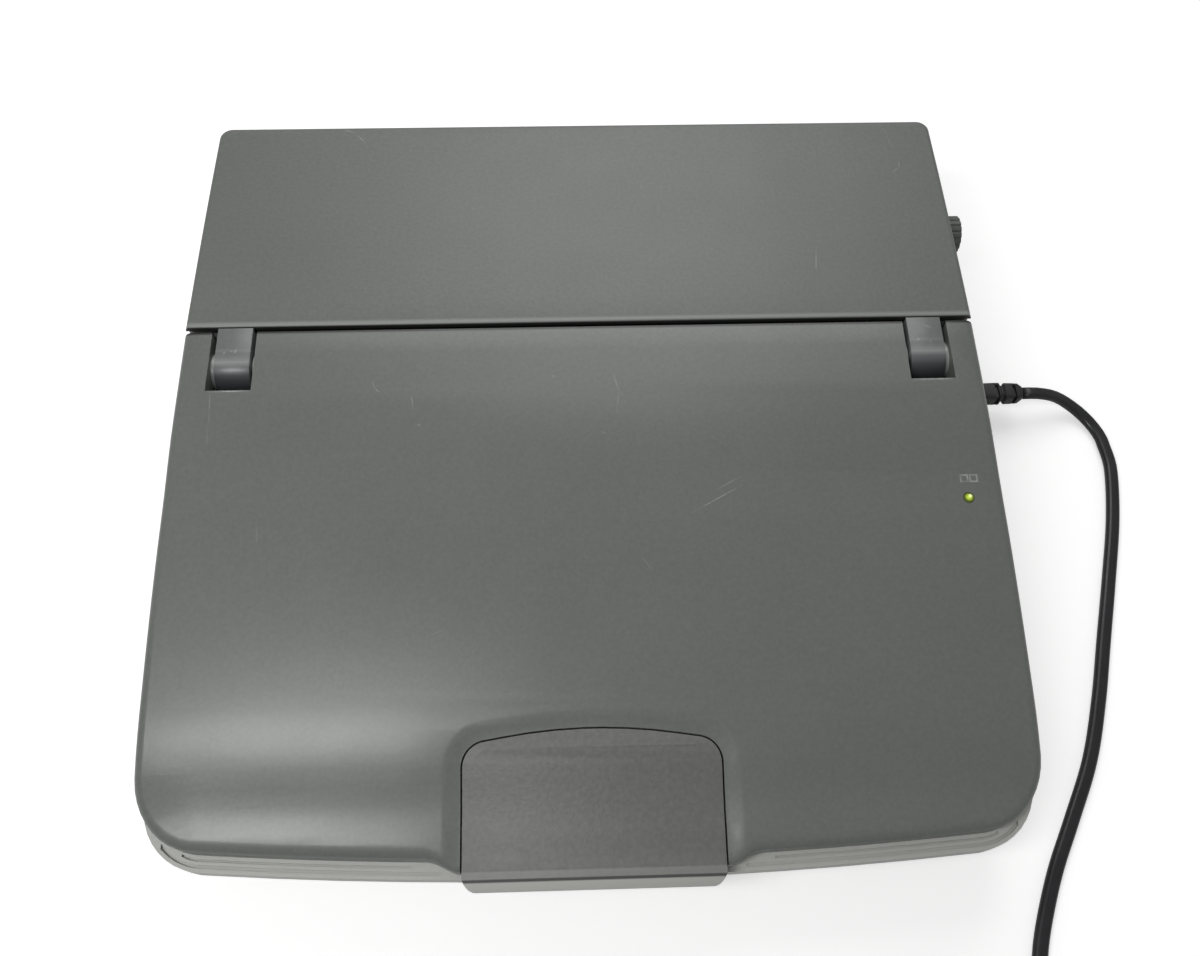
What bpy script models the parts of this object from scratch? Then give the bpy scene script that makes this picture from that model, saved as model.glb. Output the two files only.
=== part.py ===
"""Portable electronic word processor: keyboard base, screen lid, printer bay and mains cord.

Metres, +Z up. X runs to the right, Y to the back. Sub-parts are written from the seam between
the lid and the printer cover, with the table at zero height, and hang on one empty that puts
the middle of the machine's footprint at the origin.
"""
import bpy
import bmesh
import numpy as np
from math import acos, atan, copysign, cos, hypot, pi, radians, sin, sqrt
from mathutils import Vector, geometry

# Fits
GAP = 0.0003            # between pieces that touch
SEAM = 0.0008           # shown between two covers
RUN = 0.0006            # round a turning shaft
OVERRUN = 0.004         # how far a cutter passes its target
MERGE = 1e-6

# Case
CASE_WIDTH = 0.370
COVER_DEPTH = 0.1264    # printer cover, front to back
LID_DEPTH = 0.2335      # seam to the lid's front edge
FRONT_BOW = 0.0085      # how far the front swells ahead of its corners
BASE_LIP = 0.0065       # how far the base stands ahead of the lid
CASE_HEIGHT = 0.088
FRONT_CORNER = 0.028
REAR_CORNER = 0.0065
CASE_WALL = 0.0025
FOOT_HEIGHT = 0.003
FOOT_RADIUS = 0.008
FOOT_INSET_X = 0.030
FOOT_INSET_Y = 0.028
TRAY_TOP = 0.033        # joint between the bottom case and the upper case
TRAY_CHAMFER = 0.003
TRAY_TAPER_SHARE = 0.8  # of both tapers, left above the chamfer
TRAY_SIDE_TAPER = 0.002
TRAY_FRONT_TAPER = 0.016
PARTING_FRONT = 0.043   # where the lid meets the base at the front
PARTING_REAR = 0.0585
HOUSING_TOP = 0.066     # rim that the printer cover closes on
CORNER_STEPS = 10
BOW_STEPS = 12

# Lid
LID_EDGE = 0.0045       # rounding of the lid's long edges
LID_NOSE_EDGE = 0.0022  # drop of that rounding along the front
LID_BACK_EDGE = 0.0008
LID_ROWS = 26           # lines of points across its top
LID_COLUMNS = 14
ROW_SHARE_POWER = 1.6   # crowds the rows towards the front
EDGE_SHARES = (0.0, 0.05, 0.19, 0.41, 0.69, 1.0)
GROOVE_DEPTH = 0.0006    # grooves in the ledge ahead of the lid
GROOVE_INSET = 0.0042    # fine one, from the case's front edge
GROOVE_WIDTH = 0.0009
GROOVE_X = (0.074, 0.167)
LINE_INSET = 0.0016      # wide one
LINE_WIDTH = 0.0013
LINE_X = (0.062, 0.176)
LID_WALL = 0.0025
LID_REAR = 0.002        # lid's back edge ahead of the seam
NOSE_DROP = 0.035       # top at the seam down to the front crease
LID_TOP_SHARES = ((0.0, 0.0), (0.107, 0.043), (0.24, 0.109), (0.36, 0.214), (0.475, 0.297),
                  (0.587, 0.40), (0.694, 0.514), (0.797, 0.64), (0.844, 0.723),
                  (0.891, 0.829), (0.921, 0.886), (0.96, 0.93), (1.0, 0.985))

# Hinges of the lid
HINGE_DROP = 0.0125     # axis below the top
HINGE_BACK = 0.0165     # axis ahead of the seam
HINGE_CENTRE = 0.161    # middle of a barrel from the machine's centre
ARM_WIDTH = 0.016
ARM_TOP_DROP = 0.0006
BARREL_RADIUS = 0.011
NOTCH_WIDTH = 0.0206
NOTCH_DEPTH = 0.029     # from the seam
NOTCH_LEAN = 0.0048     # how far its front wall leans ahead at the case's height
NOTCH_LEAN_RISE = 0.0016    # start of the lean above the hinge axis
LID_PIN_RADIUS = 0.0025
LID_PIN_LENGTH = 0.030
EAR_RADIUS = 0.006       # round bosses beside each barrel
EAR_PROUD = 0.0014

WELL_BACK = 0.0030      # cover's front wall behind the seam
LID_OPEN_BACK = 0.0313  # back edge of the lid's open underside
ARC_STEPS = 12

# Latch
LATCH_HALF_WIDTH = 0.0527
LATCH_TOP = 0.185       # distance of its upper edge from the seam
LATCH_ARCH = 0.004      # how far that edge falls back at its ends
ARCH_SHARES = (0.85, 0.6, 0.35, 0.1)
LATCH_CORNER = 0.010
LATCH_BARREL = 0.0026
LATCH_LIP_TOP = 0.004   # lip's upper edge behind its lower one
LATCH_LIP_REACH = 0.2445
LATCH_THICK = 0.0032
LATCH_SEAM = 0.0008
LATCH_SLACK = 0.0006    # more room under its plate
LIP_CORNER = 0.005      # round ends of the front lip
LATCH_RECESS = 0.0008
LATCH_LIP_DROP = 0.010
LATCH_PIN_RADIUS = 0.0015
FLARE_WIDTH = 0.0078    # bevel in the lid round the lever
FLARE_DROP = 0.0012
FLARE_SHARES = (0.0, 0.2, 0.5, 0.8, 1.0)
FLARE_REACH = 0.005     # how far the lid's front swells forward beside the lever
FLARE_SPREAD = 0.015    # and over what width
SPREAD_SHARES = (0.0, 0.15, 0.3, 0.5, 0.7, 0.85, 1.0)
HOOK_WIDTH = 0.018
HOOK_THICK = 0.003
HOOK_REACH = 0.0065     # below the parting line
HOOK_BARB = 0.002
HOOK_SLOPE_SHARE = 1.15     # fall of the barb's top over its length
HOOK_SET = 0.0295       # hook behind the lip's front

# Printer cover
COVER_CROWN = 0.0008
CROWN_SHARES = (0.12, 0.25, 0.4, 0.55, 0.7, 0.83)
COVER_COLUMN_SHARES = (-0.95, -0.75, -0.5, -0.25, 0.0, 0.25, 0.5, 0.75, 0.95)
COVER_WALL = 0.0022
COVER_EDGE = 0.0026
COVER_LIP = 0.0035      # depth of its front lip
COVER_PIN_RADIUS = 0.002
COVER_HEEL = 0.0055     # radius of its lower back edge round the pins
COVER_LUG_X = 0.1735
COVER_LUG_WIDTH = 0.004
COVER_LUG_RADIUS = 0.004
COVER_BOSS = 0.004

# Keyboard
KEY_PITCH = 0.0185
KEY_GAP = 0.0015
KEY_HEIGHT = 0.0075
KEY_TAPER = 0.0018
KEY_UNITS = 15          # width of the field in key pitches
KEY_ROWS = 5
KEY_PROUD = 0.0015      # key tops above the deck
KEY_WEB = 0.0012
KEY_WELL_BACK = 0.084   # back edge of the key field from the seam
KEY_PLATE_THICK = 0.002
KEY_PLATE_DROP = 0.0095 # plate below the parting line
KEY_PLATE_RIM = 0.002
KEY_STEM_RADIUS = 0.002

# Deck controls
SWITCH_LENGTH = 0.016
SWITCH_WIDTH = 0.007
SWITCH_TRAVEL = 0.004
SWITCH_THICK = 0.005
SWITCH_X = 0.140
DECK_CONTROL_Y = 0.062
DIAL_RADIUS = 0.009
DIAL_WIDTH = 0.004
DIAL_PROUD = 0.0012
DIAL_X = 0.112

# Display
BEZEL_THICK = 0.0024
BEZEL_LIFT = 0.004      # bezel above the parting line
SCREEN_WIDTH = 0.216
SCREEN_DEPTH = 0.092
SCREEN_BACK = 0.062     # back edge of the window from the seam
PANEL_MARGIN = 0.008
PANEL_THICK = 0.005
LENS_RADIUS = 0.0022
LENS_X = 0.1684
LENS_Y = 0.091
LENS_PROUD = 0.0003

# Printer
PLATEN_BACK = 0.072     # axis from the seam
PLATEN_RADIUS = 0.012
PLATEN_HALF_LENGTH = 0.138
PLATEN_HEIGHT = 0.0595
SHAFT_RADIUS = 0.0035
CHASSIS_THICK = 0.002
CHASSIS_HALF_WIDTH = 0.150
CHASSIS_FRONT = 0.012
CHASSIS_BACK = 0.110
CHASSIS_RISE = 0.016    # floor of the chassis above the bottom case
CHEEK_TOP = 0.0715
PLATEN_GEAR_RADIUS = 0.0100
PLATEN_GEAR_WIDTH = 0.005
FEED_GEAR_RADIUS = 0.0050
GEAR_TEETH = (24, 12)
TOOTH_DEPTH = 0.0007    # from the pitch circle to a tip or a root
TOOTH_SHARES = ((-0.27, -1), (-0.12, 1), (0.12, 1), (0.27, -1))
MESH_SHARES = (0.6, 0.8)
FEED_MOTOR_RADIUS = 0.011
FEED_MOTOR_LENGTH = 0.016
KNOB_RADIUS = 0.0098
KNOB_PROUD = 0.0135
KNOB_LENGTH = 0.0127
KNOB_FLUTES = 18
KNOB_FLUTE = 0.0006
ROD_RADIUS = 0.003
ROD_BACK = 0.034
ROD_HEIGHT = 0.050
CARRIAGE_HALF_WIDTH = 0.022
CARRIAGE_FRONT = 0.021
CARRIAGE_BACK = 0.054
CARRIAGE_BASE = 0.044
CARRIAGE_TOP = 0.0565
HEAD_HALF_WIDTH = 0.008
HEAD_TOP = 0.066
CASSETTE_HALF_WIDTH = 0.034
CASSETTE_HEIGHT = 0.009
CASSETTE_FRONT = 0.016
CASSETTE_BACK = 0.0555
BELT_WIDTH = 0.004
BELT_THICK = 0.0012
BELT_BACK = 0.026
BELT_HEIGHT = 0.0365
BELT_HALF_SPAN = 0.132
PULLEY_RADIUS = 0.0055
CARRIAGE_MOTOR_RADIUS = 0.009
CARRIAGE_MOTOR_LENGTH = 0.008
BAIL_RADIUS = 0.0015
BAIL_BACK = 0.0895
BAIL_HEIGHT = 0.0655

# Electronics
BOARD_THICK = 0.0016
BOARD_RISE = 0.006
POST_RADIUS = 0.003
MAIN_BOARD_BACK = 0.070
MAIN_BOARD_FRONT = 0.186
MAIN_BOARD_HALF_WIDTH = 0.070
SUPPLY_FRONT = 0.058
SUPPLY_BACK = 0.010
SUPPLY_LEFT = 0.020
SUPPLY_RIGHT = 0.164
PACKAGE_HEIGHT = 0.0035
CHOKE_HEIGHT = 0.018
PACKAGE_SHARES = ((0.25, 0.55, 0.22), (0.55, 0.35, 0.16), (0.8, 0.7, 0.14))
SUPPLY_SHARES = ((0.12, 0.35, 1.0), (0.5, 0.62, 0.7), (0.72, 0.88, 0.85))

# Floppy disk drive
DRIVE_WIDTH = 0.102
DRIVE_DEPTH = 0.100
DRIVE_HEIGHT = 0.0165
DRIVE_FRONT = 0.184     # front side of the drive from the seam
DRIVE_RISE = 0.0068
SLOT_WIDTH = 0.090
SLOT_HEIGHT = 0.005
DISK_DEPTH = 0.086
EJECT_WIDTH = 0.012
EJECT_HEIGHT = 0.005
EJECT_TRAVEL = 0.003
EJECT_LENGTH = 0.010

# Screws
SCREW_HEAD_RADIUS = 0.0032
SCREW_RADIUS = 0.0015
SCREW_LENGTH = 0.009
SCREW_HEAD = 0.0016
SCREW_RECESS = 0.0006
SCREW_INSET_X = 0.020
SCREW_INSET_Y = 0.040

# Mains cord
CORD_DIAMETER = 0.0066
CORD_EXIT_HEIGHT = 0.0145
CORD_EXIT_Y = 0.001
CORD_EXIT_X = 0.2360
RELIEF_COLLAR = 0.010
RELIEF_TIP = 0.0082
RELIEF_FLANGE = 0.001
RELIEF_FLANGE_WIDTH = 0.0022
RELIEF_PLAIN = 0.008    # smooth length outside the wall
RELIEF_RIBS = 4
RELIEF_GROOVE = 0.0012
LEAD_STEP = 0.0135
CORD_LIFT = 0.0003      # cord above the table
LEAD_ROUTE = ((0.2480, 0.0010, 0.0139), (0.2530, 0.0010, 0.0122), (0.2591, 0.0002, 0.0093),
              (0.2663, -0.0029, 0.0059), (0.2717, -0.0072, 0.0039), (0.2758, -0.0129, 0.0036),
              (0.2783, -0.0194, 0.0036), (0.2791, -0.0255, 0.0036), (0.2793, -0.0404, 0.0036),
              (0.2730, -0.0693, 0.0036), (0.2627, -0.1022, 0.0036), (0.2524, -0.1334, 0.0036),
              (0.2427, -0.1628, 0.0036), (0.2316, -0.1908, 0.0036), (0.2169, -0.2172, 0.0036),
              (0.2048, -0.2382, 0.0036), (0.1954, -0.2584, 0.0036), (0.1903, -0.2725, 0.0036),
              (0.1880, -0.2850, 0.0036), (0.1872, -0.2970, 0.0036), (0.1870, -0.3090, 0.0036))
COIL_TURNS = 6.25
COIL_MEAN_RADIUS = 0.036
COIL_PITCH = 0.0071
COIL_LAYER = 0.0071
COIL_START_Y = -0.3230
COIL_POINTS = 24
TAIL_LENGTH = 0.036
TAIL_SHARES = (0.35, 0.8)   # where the tail comes down
CORD_STAND = 3          # diameters of cord left out each side when its gap to itself is measured
PLUG_LENGTH = 0.036
PLUG_WIDTH = 0.024
PLUG_HEIGHT = 0.015
PLUG_NECK = 0.0095
PLUG_SHARES = ((0.0, 0.0, 0.0), (0.28, 0.1, 0.05), (0.42, 0.7, 0.6), (0.55, 1.0, 1.0), (1.0, 0.92, 0.9))
PLUG_ROUND_SHARE = 0.6  # squareness of its section
BLADE_LENGTH = 0.017
BLADE_WIDTH = 0.0062
BLADE_THICK = 0.0015
BLADE_SPACING = 0.0127

HALF = CASE_WIDTH / 2
PARTING_SLOPE = (PARTING_REAR - PARTING_FRONT) / (LID_DEPTH - LID_OPEN_BACK)
LID_SWING = sqrt((HINGE_BACK - LID_REAR) ** 2 + HINGE_DROP ** 2)
BASE_FRONT = LID_DEPTH + BASE_LIP
BODY_OFFSET = (-KNOB_PROUD / 2, (LATCH_LIP_REACH - COVER_DEPTH) / 2, 0)
DARK_GREY = (0.155, 0.165, 0.155, 1)
BLACK = (0.012, 0.012, 0.013, 1)
KEY_GREY = (0.42, 0.42, 0.39, 1)
STEEL = (0.55, 0.55, 0.56, 1)
BOARD_GREEN = (0.03, 0.16, 0.07, 1)

for old in list(bpy.data.objects):
    bpy.data.objects.remove(old, do_unlink=True)

machine = bpy.data.objects.new("machine", None)
machine.location = BODY_OFFSET
bpy.context.collection.objects.link(machine)


def parting(y):
    """Height of the plane where the lid meets the base."""
    return PARTING_FRONT + PARTING_SLOPE * (y + LID_DEPTH)


TOP_SHARES = np.array(LID_TOP_SHARES)
TOP_SLOPES = np.gradient(TOP_SHARES[:, 1], TOP_SHARES[:, 0])


def lid_top(y):
    """Height of the lid's top surface: a smooth curve through the shares of its depth and drop."""
    share = min(max(-y / LID_DEPTH, 0.0), 1.0)
    i = min(int(np.searchsorted(TOP_SHARES[:, 0], share, "right")), len(TOP_SHARES) - 1)
    (low, first), (high, last) = TOP_SHARES[i - 1], TOP_SHARES[i]
    span = high - low
    t = (share - low) / span
    drop = ((2 * t ** 3 - 3 * t ** 2 + 1) * first + (t ** 3 - 2 * t ** 2 + t) * span * TOP_SLOPES[i - 1]
            + (3 * t ** 2 - 2 * t ** 3) * last + (t ** 3 - t ** 2) * span * TOP_SLOPES[i])
    return CASE_HEIGHT - NOSE_DROP * float(drop)


def finish(name, mesh):
    """Puts a mesh in the scene as a sub-part of the machine."""
    thing = bpy.data.objects.new(name, mesh)
    bpy.context.collection.objects.link(thing)
    thing.parent = machine
    return thing


def from_bmesh(name, shape):
    bmesh.ops.recalc_face_normals(shape, faces=shape.faces)
    mesh = bpy.data.meshes.new(name)
    shape.to_mesh(mesh)
    shape.free()
    return finish(name, mesh)


def skin(name, rings, looped=False):
    """Bridges rings of equally many points; the end rings are capped, or joined if looped."""
    shape = bmesh.new()
    loops = [[shape.verts.new(point) for point in ring] for ring in rings]
    count = len(loops[0])
    pairs = list(zip(loops, loops[1:]))
    if looped:
        pairs.append((loops[-1], loops[0]))
    for first, second in pairs:
        for i in range(count):
            j = (i + 1) % count
            shape.faces.new((first[i], first[j], second[j], second[i]))
    if not looped:
        shape.faces.new(loops[0])
        shape.faces.new(loops[-1])
    return from_bmesh(name, shape)


def prism(name, outline, axis, low, high):
    """Extrudes a flat outline along X, Y or Z between two values of that axis."""
    def point(pair, along):
        if axis == "X":
            return (along, pair[0], pair[1])
        if axis == "Y":
            return (pair[0], along, pair[1])
        return (pair[0], pair[1], along)
    return skin(name, [[point(pair, along) for pair in outline] for along in (low, high)])


def block(name, x, y, z):
    """A box between two values on each axis."""
    corners = [(x[0], y[0]), (x[1], y[0]), (x[1], y[1]), (x[0], y[1])]
    return prism(name, corners, "Z", z[0], z[1])


def circle(axis, centre, radius, along, sides):
    """Points of a circle square to an axis, at a place along it."""
    points = []
    for i in range(sides):
        angle = 2 * pi * i / sides
        pair = (centre[0] + radius * cos(angle), centre[1] + radius * sin(angle))
        points.append({"X": (along, *pair), "Y": (pair[0], along, pair[1]), "Z": (*pair, along)}[axis])
    return points


def turned(name, axis, centre, profile, sides=24, looped=False):
    """Turns a profile of (place along the axis, radius) pairs."""
    rings = [circle(axis, centre, radius, along, sides) for along, radius in profile]
    thing = skin(name, rings, looped)
    thing.data.shade_smooth()
    thing.data.set_sharp_from_angle(angle=radians(40))
    return thing


def drum(name, axis, centre, radius, low, high, sides=24):
    return turned(name, axis, centre, ((low, radius), (high, radius)), sides)


def combine(target, others, operation="DIFFERENCE"):
    """Applies a Boolean of each other object to the target and removes those objects."""
    for other in others:
        boolean = target.modifiers.new(operation.lower(), "BOOLEAN")
        boolean.operation = operation
        boolean.solver = "EXACT"
        boolean.object = other
    bpy.context.view_layer.update()
    evaluated = target.evaluated_get(bpy.context.evaluated_depsgraph_get())
    mesh = bpy.data.meshes.new_from_object(evaluated)
    target.modifiers.clear()
    target.data = mesh
    mesh.name = target.name
    for other in others:
        bpy.data.objects.remove(other, do_unlink=True)
    return target


def carve(target, *cutters):
    return combine(target, cutters)


def unite(target, *others):
    return combine(target, others, "UNION")


def common(target, other):
    return combine(target, [other], "INTERSECT")


def slant(thing):
    """Lifts a level shape so that it follows the parting line."""
    for vertex in thing.data.vertices:
        vertex.co.z += parting(vertex.co.y)
    return thing


def pivot(thing, place):
    """Moves an object's origin to its joint's axis without moving the shape."""
    offset = Vector(place)
    for vertex in thing.data.vertices:
        vertex.co -= offset
    thing.location = offset
    return thing


def paint(thing, colour, roughness=0.5, metallic=0.0):
    """Gives a sub-part a material of its own."""
    material = bpy.data.materials.new(thing.name + "_finish")
    material.use_nodes = True
    shader = material.node_tree.nodes["Principled BSDF"]
    shader.inputs["Base Color"].default_value = colour
    shader.inputs["Roughness"].default_value = roughness
    shader.inputs["Metallic"].default_value = metallic
    thing.data.materials.clear()
    thing.data.materials.append(material)
    return thing


def case_outline(front, back, inset=0.0, side=0.0):
    """Plan of the case: bowed front, large front corners and small back ones."""
    half = HALF - inset - side
    fore = FRONT_CORNER - inset
    aft = REAR_CORNER - inset
    low = front + inset
    high = back - inset

    def bow(x):
        return low + FRONT_BOW * (x / HALF) ** 2

    points = []
    for i in range(CORNER_STEPS + 1):
        angle = pi / 2 * i / CORNER_STEPS
        points.append((half - aft + aft * cos(angle), high - aft + aft * sin(angle)))
    for i in range(CORNER_STEPS + 1):
        angle = pi / 2 * (1 + i / CORNER_STEPS)
        points.append((-half + aft + aft * cos(angle), high - aft + aft * sin(angle)))
    edge = half - fore
    for i in range(CORNER_STEPS):
        angle = pi / 2 * (2 + i / CORNER_STEPS)
        points.append((-edge + fore * cos(angle), bow(edge) + fore + fore * sin(angle)))
    for i in range(BOW_STEPS + 1):
        x = -edge + 2 * edge * i / BOW_STEPS
        points.append((x, bow(x)))
    for i in range(1, CORNER_STEPS + 1):
        angle = pi / 2 * (3 + i / CORNER_STEPS)
        points.append((edge + fore * cos(angle), bow(edge) + fore + fore * sin(angle)))
    return points


TRAY_FLOOR = FOOT_HEIGHT + CASE_WALL
CASE_SIDES = (-1, 1)
CHEEK_OUT = CHASSIS_HALF_WIDTH
PLATEN_AXIS = (PLATEN_BACK, PLATEN_HEIGHT)
HINGE_AXIS = (-HINGE_BACK, CASE_HEIGHT - HINGE_DROP)
SCREW_PLACES = [(sx * (HALF - SCREW_INSET_X), y) for sx in CASE_SIDES
                for y in (COVER_DEPTH - SCREW_INSET_X, -LID_DEPTH + SCREW_INSET_Y)]
FOOT_PLACES = [(sx * (HALF - FOOT_INSET_X), y) for sx in CASE_SIDES
               for y in (COVER_DEPTH - FOOT_INSET_Y, -LID_DEPTH + 2 * FOOT_INSET_Y)]
DRIVE_RIGHT = HALF - TRAY_SIDE_TAPER - CASE_WALL - GAP
DRIVE_LEFT = DRIVE_RIGHT - DRIVE_WIDTH
DRIVE_BOTTOM = TRAY_FLOOR + DRIVE_RISE
DRIVE_Y = (-DRIVE_FRONT, -DRIVE_FRONT + DRIVE_DEPTH)
SLOT_Y = (DRIVE_Y[0] + (DRIVE_DEPTH - SLOT_WIDTH) / 2, DRIVE_Y[1] - (DRIVE_DEPTH - SLOT_WIDTH) / 2)
SLOT_Z = (DRIVE_BOTTOM + DRIVE_HEIGHT - 2 * CASE_WALL - SLOT_HEIGHT,
          DRIVE_BOTTOM + DRIVE_HEIGHT - 2 * CASE_WALL)
EJECT_Y = (SLOT_Y[0], SLOT_Y[0] + EJECT_WIDTH)
EJECT_Z = (DRIVE_BOTTOM + GAP * 2 + RUN, DRIVE_BOTTOM + GAP * 2 + RUN + EJECT_HEIGHT)


def tray_rings(inset, floor):
    """Plan rings of the bottom case from its floor up to its rim, tapering underneath."""
    levels = ((floor, 1, TRAY_CHAMFER), (floor + TRAY_CHAMFER, TRAY_TAPER_SHARE, 0), (TRAY_TOP, 0, 0))
    rings = []
    for z, share, chamfer in levels:
        front = -BASE_FRONT + TRAY_FRONT_TAPER * share
        outline = case_outline(front, COVER_DEPTH - chamfer, inset, TRAY_SIDE_TAPER * share + chamfer)
        rings.append([(x, y, z) for x, y in outline])
    return rings


def widened(pair, margin):
    return (pair[0] - margin, pair[1] + margin)


def board_posts(places, top, radius=POST_RADIUS):
    """Posts moulded on the tray floor."""
    return [drum("post", "Z", place, radius, TRAY_FLOOR - CASE_WALL / 2, top, 10) for place in places]


def corners(x, y, inset):
    return [(a, b) for a in (x[0] + inset, x[1] - inset) for b in (y[0] + inset, y[1] - inset)]


MAIN_X = (-HALF + 3 * CASE_WALL, MAIN_BOARD_HALF_WIDTH)
MAIN_Y = (-MAIN_BOARD_FRONT, -MAIN_BOARD_BACK)
SUPPLY_X = (SUPPLY_LEFT, SUPPLY_RIGHT)
SUPPLY_Y = (-SUPPLY_FRONT, -SUPPLY_BACK)


def make_bottom_case():
    case = skin("bottom_case", tray_rings(0.0, FOOT_HEIGHT))
    hollow = tray_rings(CASE_WALL, TRAY_FLOOR)
    top = [(x, y, TRAY_TOP + OVERRUN) for x, y, z in hollow[-1]]
    carve(case, skin("hollow", hollow + [top]))
    posts = board_posts(corners(MAIN_X, MAIN_Y, 2 * POST_RADIUS), TRAY_FLOOR + BOARD_RISE - GAP)
    posts += board_posts(corners(SUPPLY_X, SUPPLY_Y, 2 * POST_RADIUS), TRAY_FLOOR + BOARD_RISE - GAP)
    posts += board_posts(corners((DRIVE_LEFT, DRIVE_RIGHT), DRIVE_Y, 4 * POST_RADIUS), DRIVE_BOTTOM - GAP)
    posts += board_posts(SCREW_PLACES, FOOT_HEIGHT + SCREW_LENGTH + CASE_WALL, SCREW_HEAD_RADIUS)
    unite(case, *posts)
    cuts = []
    for x, y in SCREW_PLACES:
        head = SCREW_HEAD_RADIUS + GAP - CASE_WALL / 4
        floor = FOOT_HEIGHT + SCREW_RECESS + SCREW_HEAD + GAP
        profile = ((FOOT_HEIGHT - OVERRUN, head), (floor, head), (floor, SCREW_RADIUS + GAP),
                   (FOOT_HEIGHT + SCREW_LENGTH + GAP, SCREW_RADIUS + GAP))
        cuts.append(turned("screw_hole", "Z", (x, y), profile, 12))
    wall = (DRIVE_RIGHT, HALF + OVERRUN)
    cuts.append(block("slot", wall, widened(SLOT_Y, RUN), widened(SLOT_Z, RUN)))
    cuts.append(block("eject", wall, widened(EJECT_Y, RUN), widened(EJECT_Z, RUN)))
    relief = RELIEF_COLLAR / 2 + GAP
    cuts.append(drum("relief", "X", (CORD_EXIT_Y, CORD_EXIT_HEIGHT), relief, DRIVE_RIGHT - OVERRUN,
                     HALF + OVERRUN, 16))
    carve(case, *cuts)
    return paint(case, DARK_GREY, 0.6)


def make_feet_and_screws():
    names = ("left_rear", "left_front", "right_rear", "right_front")
    for name, place in zip(names, FOOT_PLACES):
        paint(drum("foot_" + name, "Z", place, FOOT_RADIUS, 0, FOOT_HEIGHT - GAP, 20), BLACK, 0.9)
    for name, place in zip(names, SCREW_PLACES):
        low = FOOT_HEIGHT + SCREW_RECESS
        head = SCREW_HEAD_RADIUS - CASE_WALL / 4
        profile = ((low, head), (low + SCREW_HEAD, head),
                   (low + SCREW_HEAD, SCREW_RADIUS), (FOOT_HEIGHT + SCREW_LENGTH, SCREW_RADIUS))
        paint(turned("case_screw_" + name, "Z", place, profile, 12), STEEL, 0.35, 1.0)


FIELD_HALF = KEY_PITCH * KEY_UNITS / 2
KEY_FIELD_Y = (-KEY_WELL_BACK - KEY_ROWS * KEY_PITCH, -KEY_WELL_BACK)
ARM_X = [(sx * HINGE_CENTRE - ARM_WIDTH / 2, sx * HINGE_CENTRE + ARM_WIDTH / 2) for sx in CASE_SIDES]
HOOK_BACK = -LATCH_LIP_REACH + HOOK_SET
HOOK_Y = (HOOK_BACK - HOOK_THICK, HOOK_BACK)
BAY_Y = (CHASSIS_FRONT - 2 * CASE_WALL, CHASSIS_BACK + CASE_WALL)
BAY_HALF = HALF - 5 * CASE_WALL


def arc(centre, radius, start, end, steps=ARC_STEPS):
    """Points of an arc, both ends included."""
    angles = [start + (end - start) * i / steps for i in range(steps + 1)]
    return [(centre[0] + radius * cos(angle), centre[1] + radius * sin(angle)) for angle in angles]


def meets_parting(radius, lift):
    """Angle at which a circle round the lid's hinge meets the parting line on its front side."""
    low, high = -pi, -pi / 2
    for _ in range(40):
        middle = (low + high) / 2
        y = HINGE_AXIS[0] + radius * cos(middle)
        z = HINGE_AXIS[1] + radius * sin(middle)
        low, high = (middle, high) if z > parting(y) + lift else (low, middle)
    return low


def base_profile(inset):
    """Side view of the upper case: sloping deck, round hinge well and printer housing."""
    low = TRAY_TOP + GAP
    bottom = low - OVERRUN if inset else low
    front = -BASE_FRONT - OVERRUN
    back = COVER_DEPTH + OVERRUN
    lift = SEAM / 2 + inset
    radius = LID_SWING + SEAM + inset
    top = HOUSING_TOP - inset
    start = meets_parting(radius, -lift)
    end = -acos(sqrt(1 - ((HINGE_AXIS[1] - top) / radius) ** 2))
    return [(front, bottom), (front, parting(front) - lift), *arc(HINGE_AXIS, radius, start, end),
            (back, top), (back, bottom)]


def base_solid(name, inset):
    solid = prism(name, base_profile(inset), "X", -HALF - OVERRUN, HALF + OVERRUN)
    outline = case_outline(-BASE_FRONT, COVER_DEPTH, inset)
    return common(solid, prism("plan", outline, "Z", 0, CASE_HEIGHT))


def ledge_grooves():
    """Grooves in the ledge ahead of the lid: a fine one and a wide one on each side of the lever."""
    low = parting(-BASE_FRONT) - SEAM / 2 - GROOVE_DEPTH
    cuts = []
    for inset, width, span in ((GROOVE_INSET, GROOVE_WIDTH, GROOVE_X), (LINE_INSET, LINE_WIDTH, LINE_X)):
        for side in CASE_SIDES:
            line = prism("groove", case_outline(-BASE_FRONT, COVER_DEPTH, inset), "Z", low, CASE_HEIGHT)
            core = case_outline(-BASE_FRONT, COVER_DEPTH, inset + width)
            carve(line, prism("core", core, "Z", 0, 2 * CASE_HEIGHT))
            reach = tuple(sorted(side * x for x in span))
            window = (-BASE_FRONT - OVERRUN, -LID_DEPTH + FRONT_CORNER)
            cuts.append(common(line, block("window", reach, window, (0, 2 * CASE_HEIGHT))))
    return cuts


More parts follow.
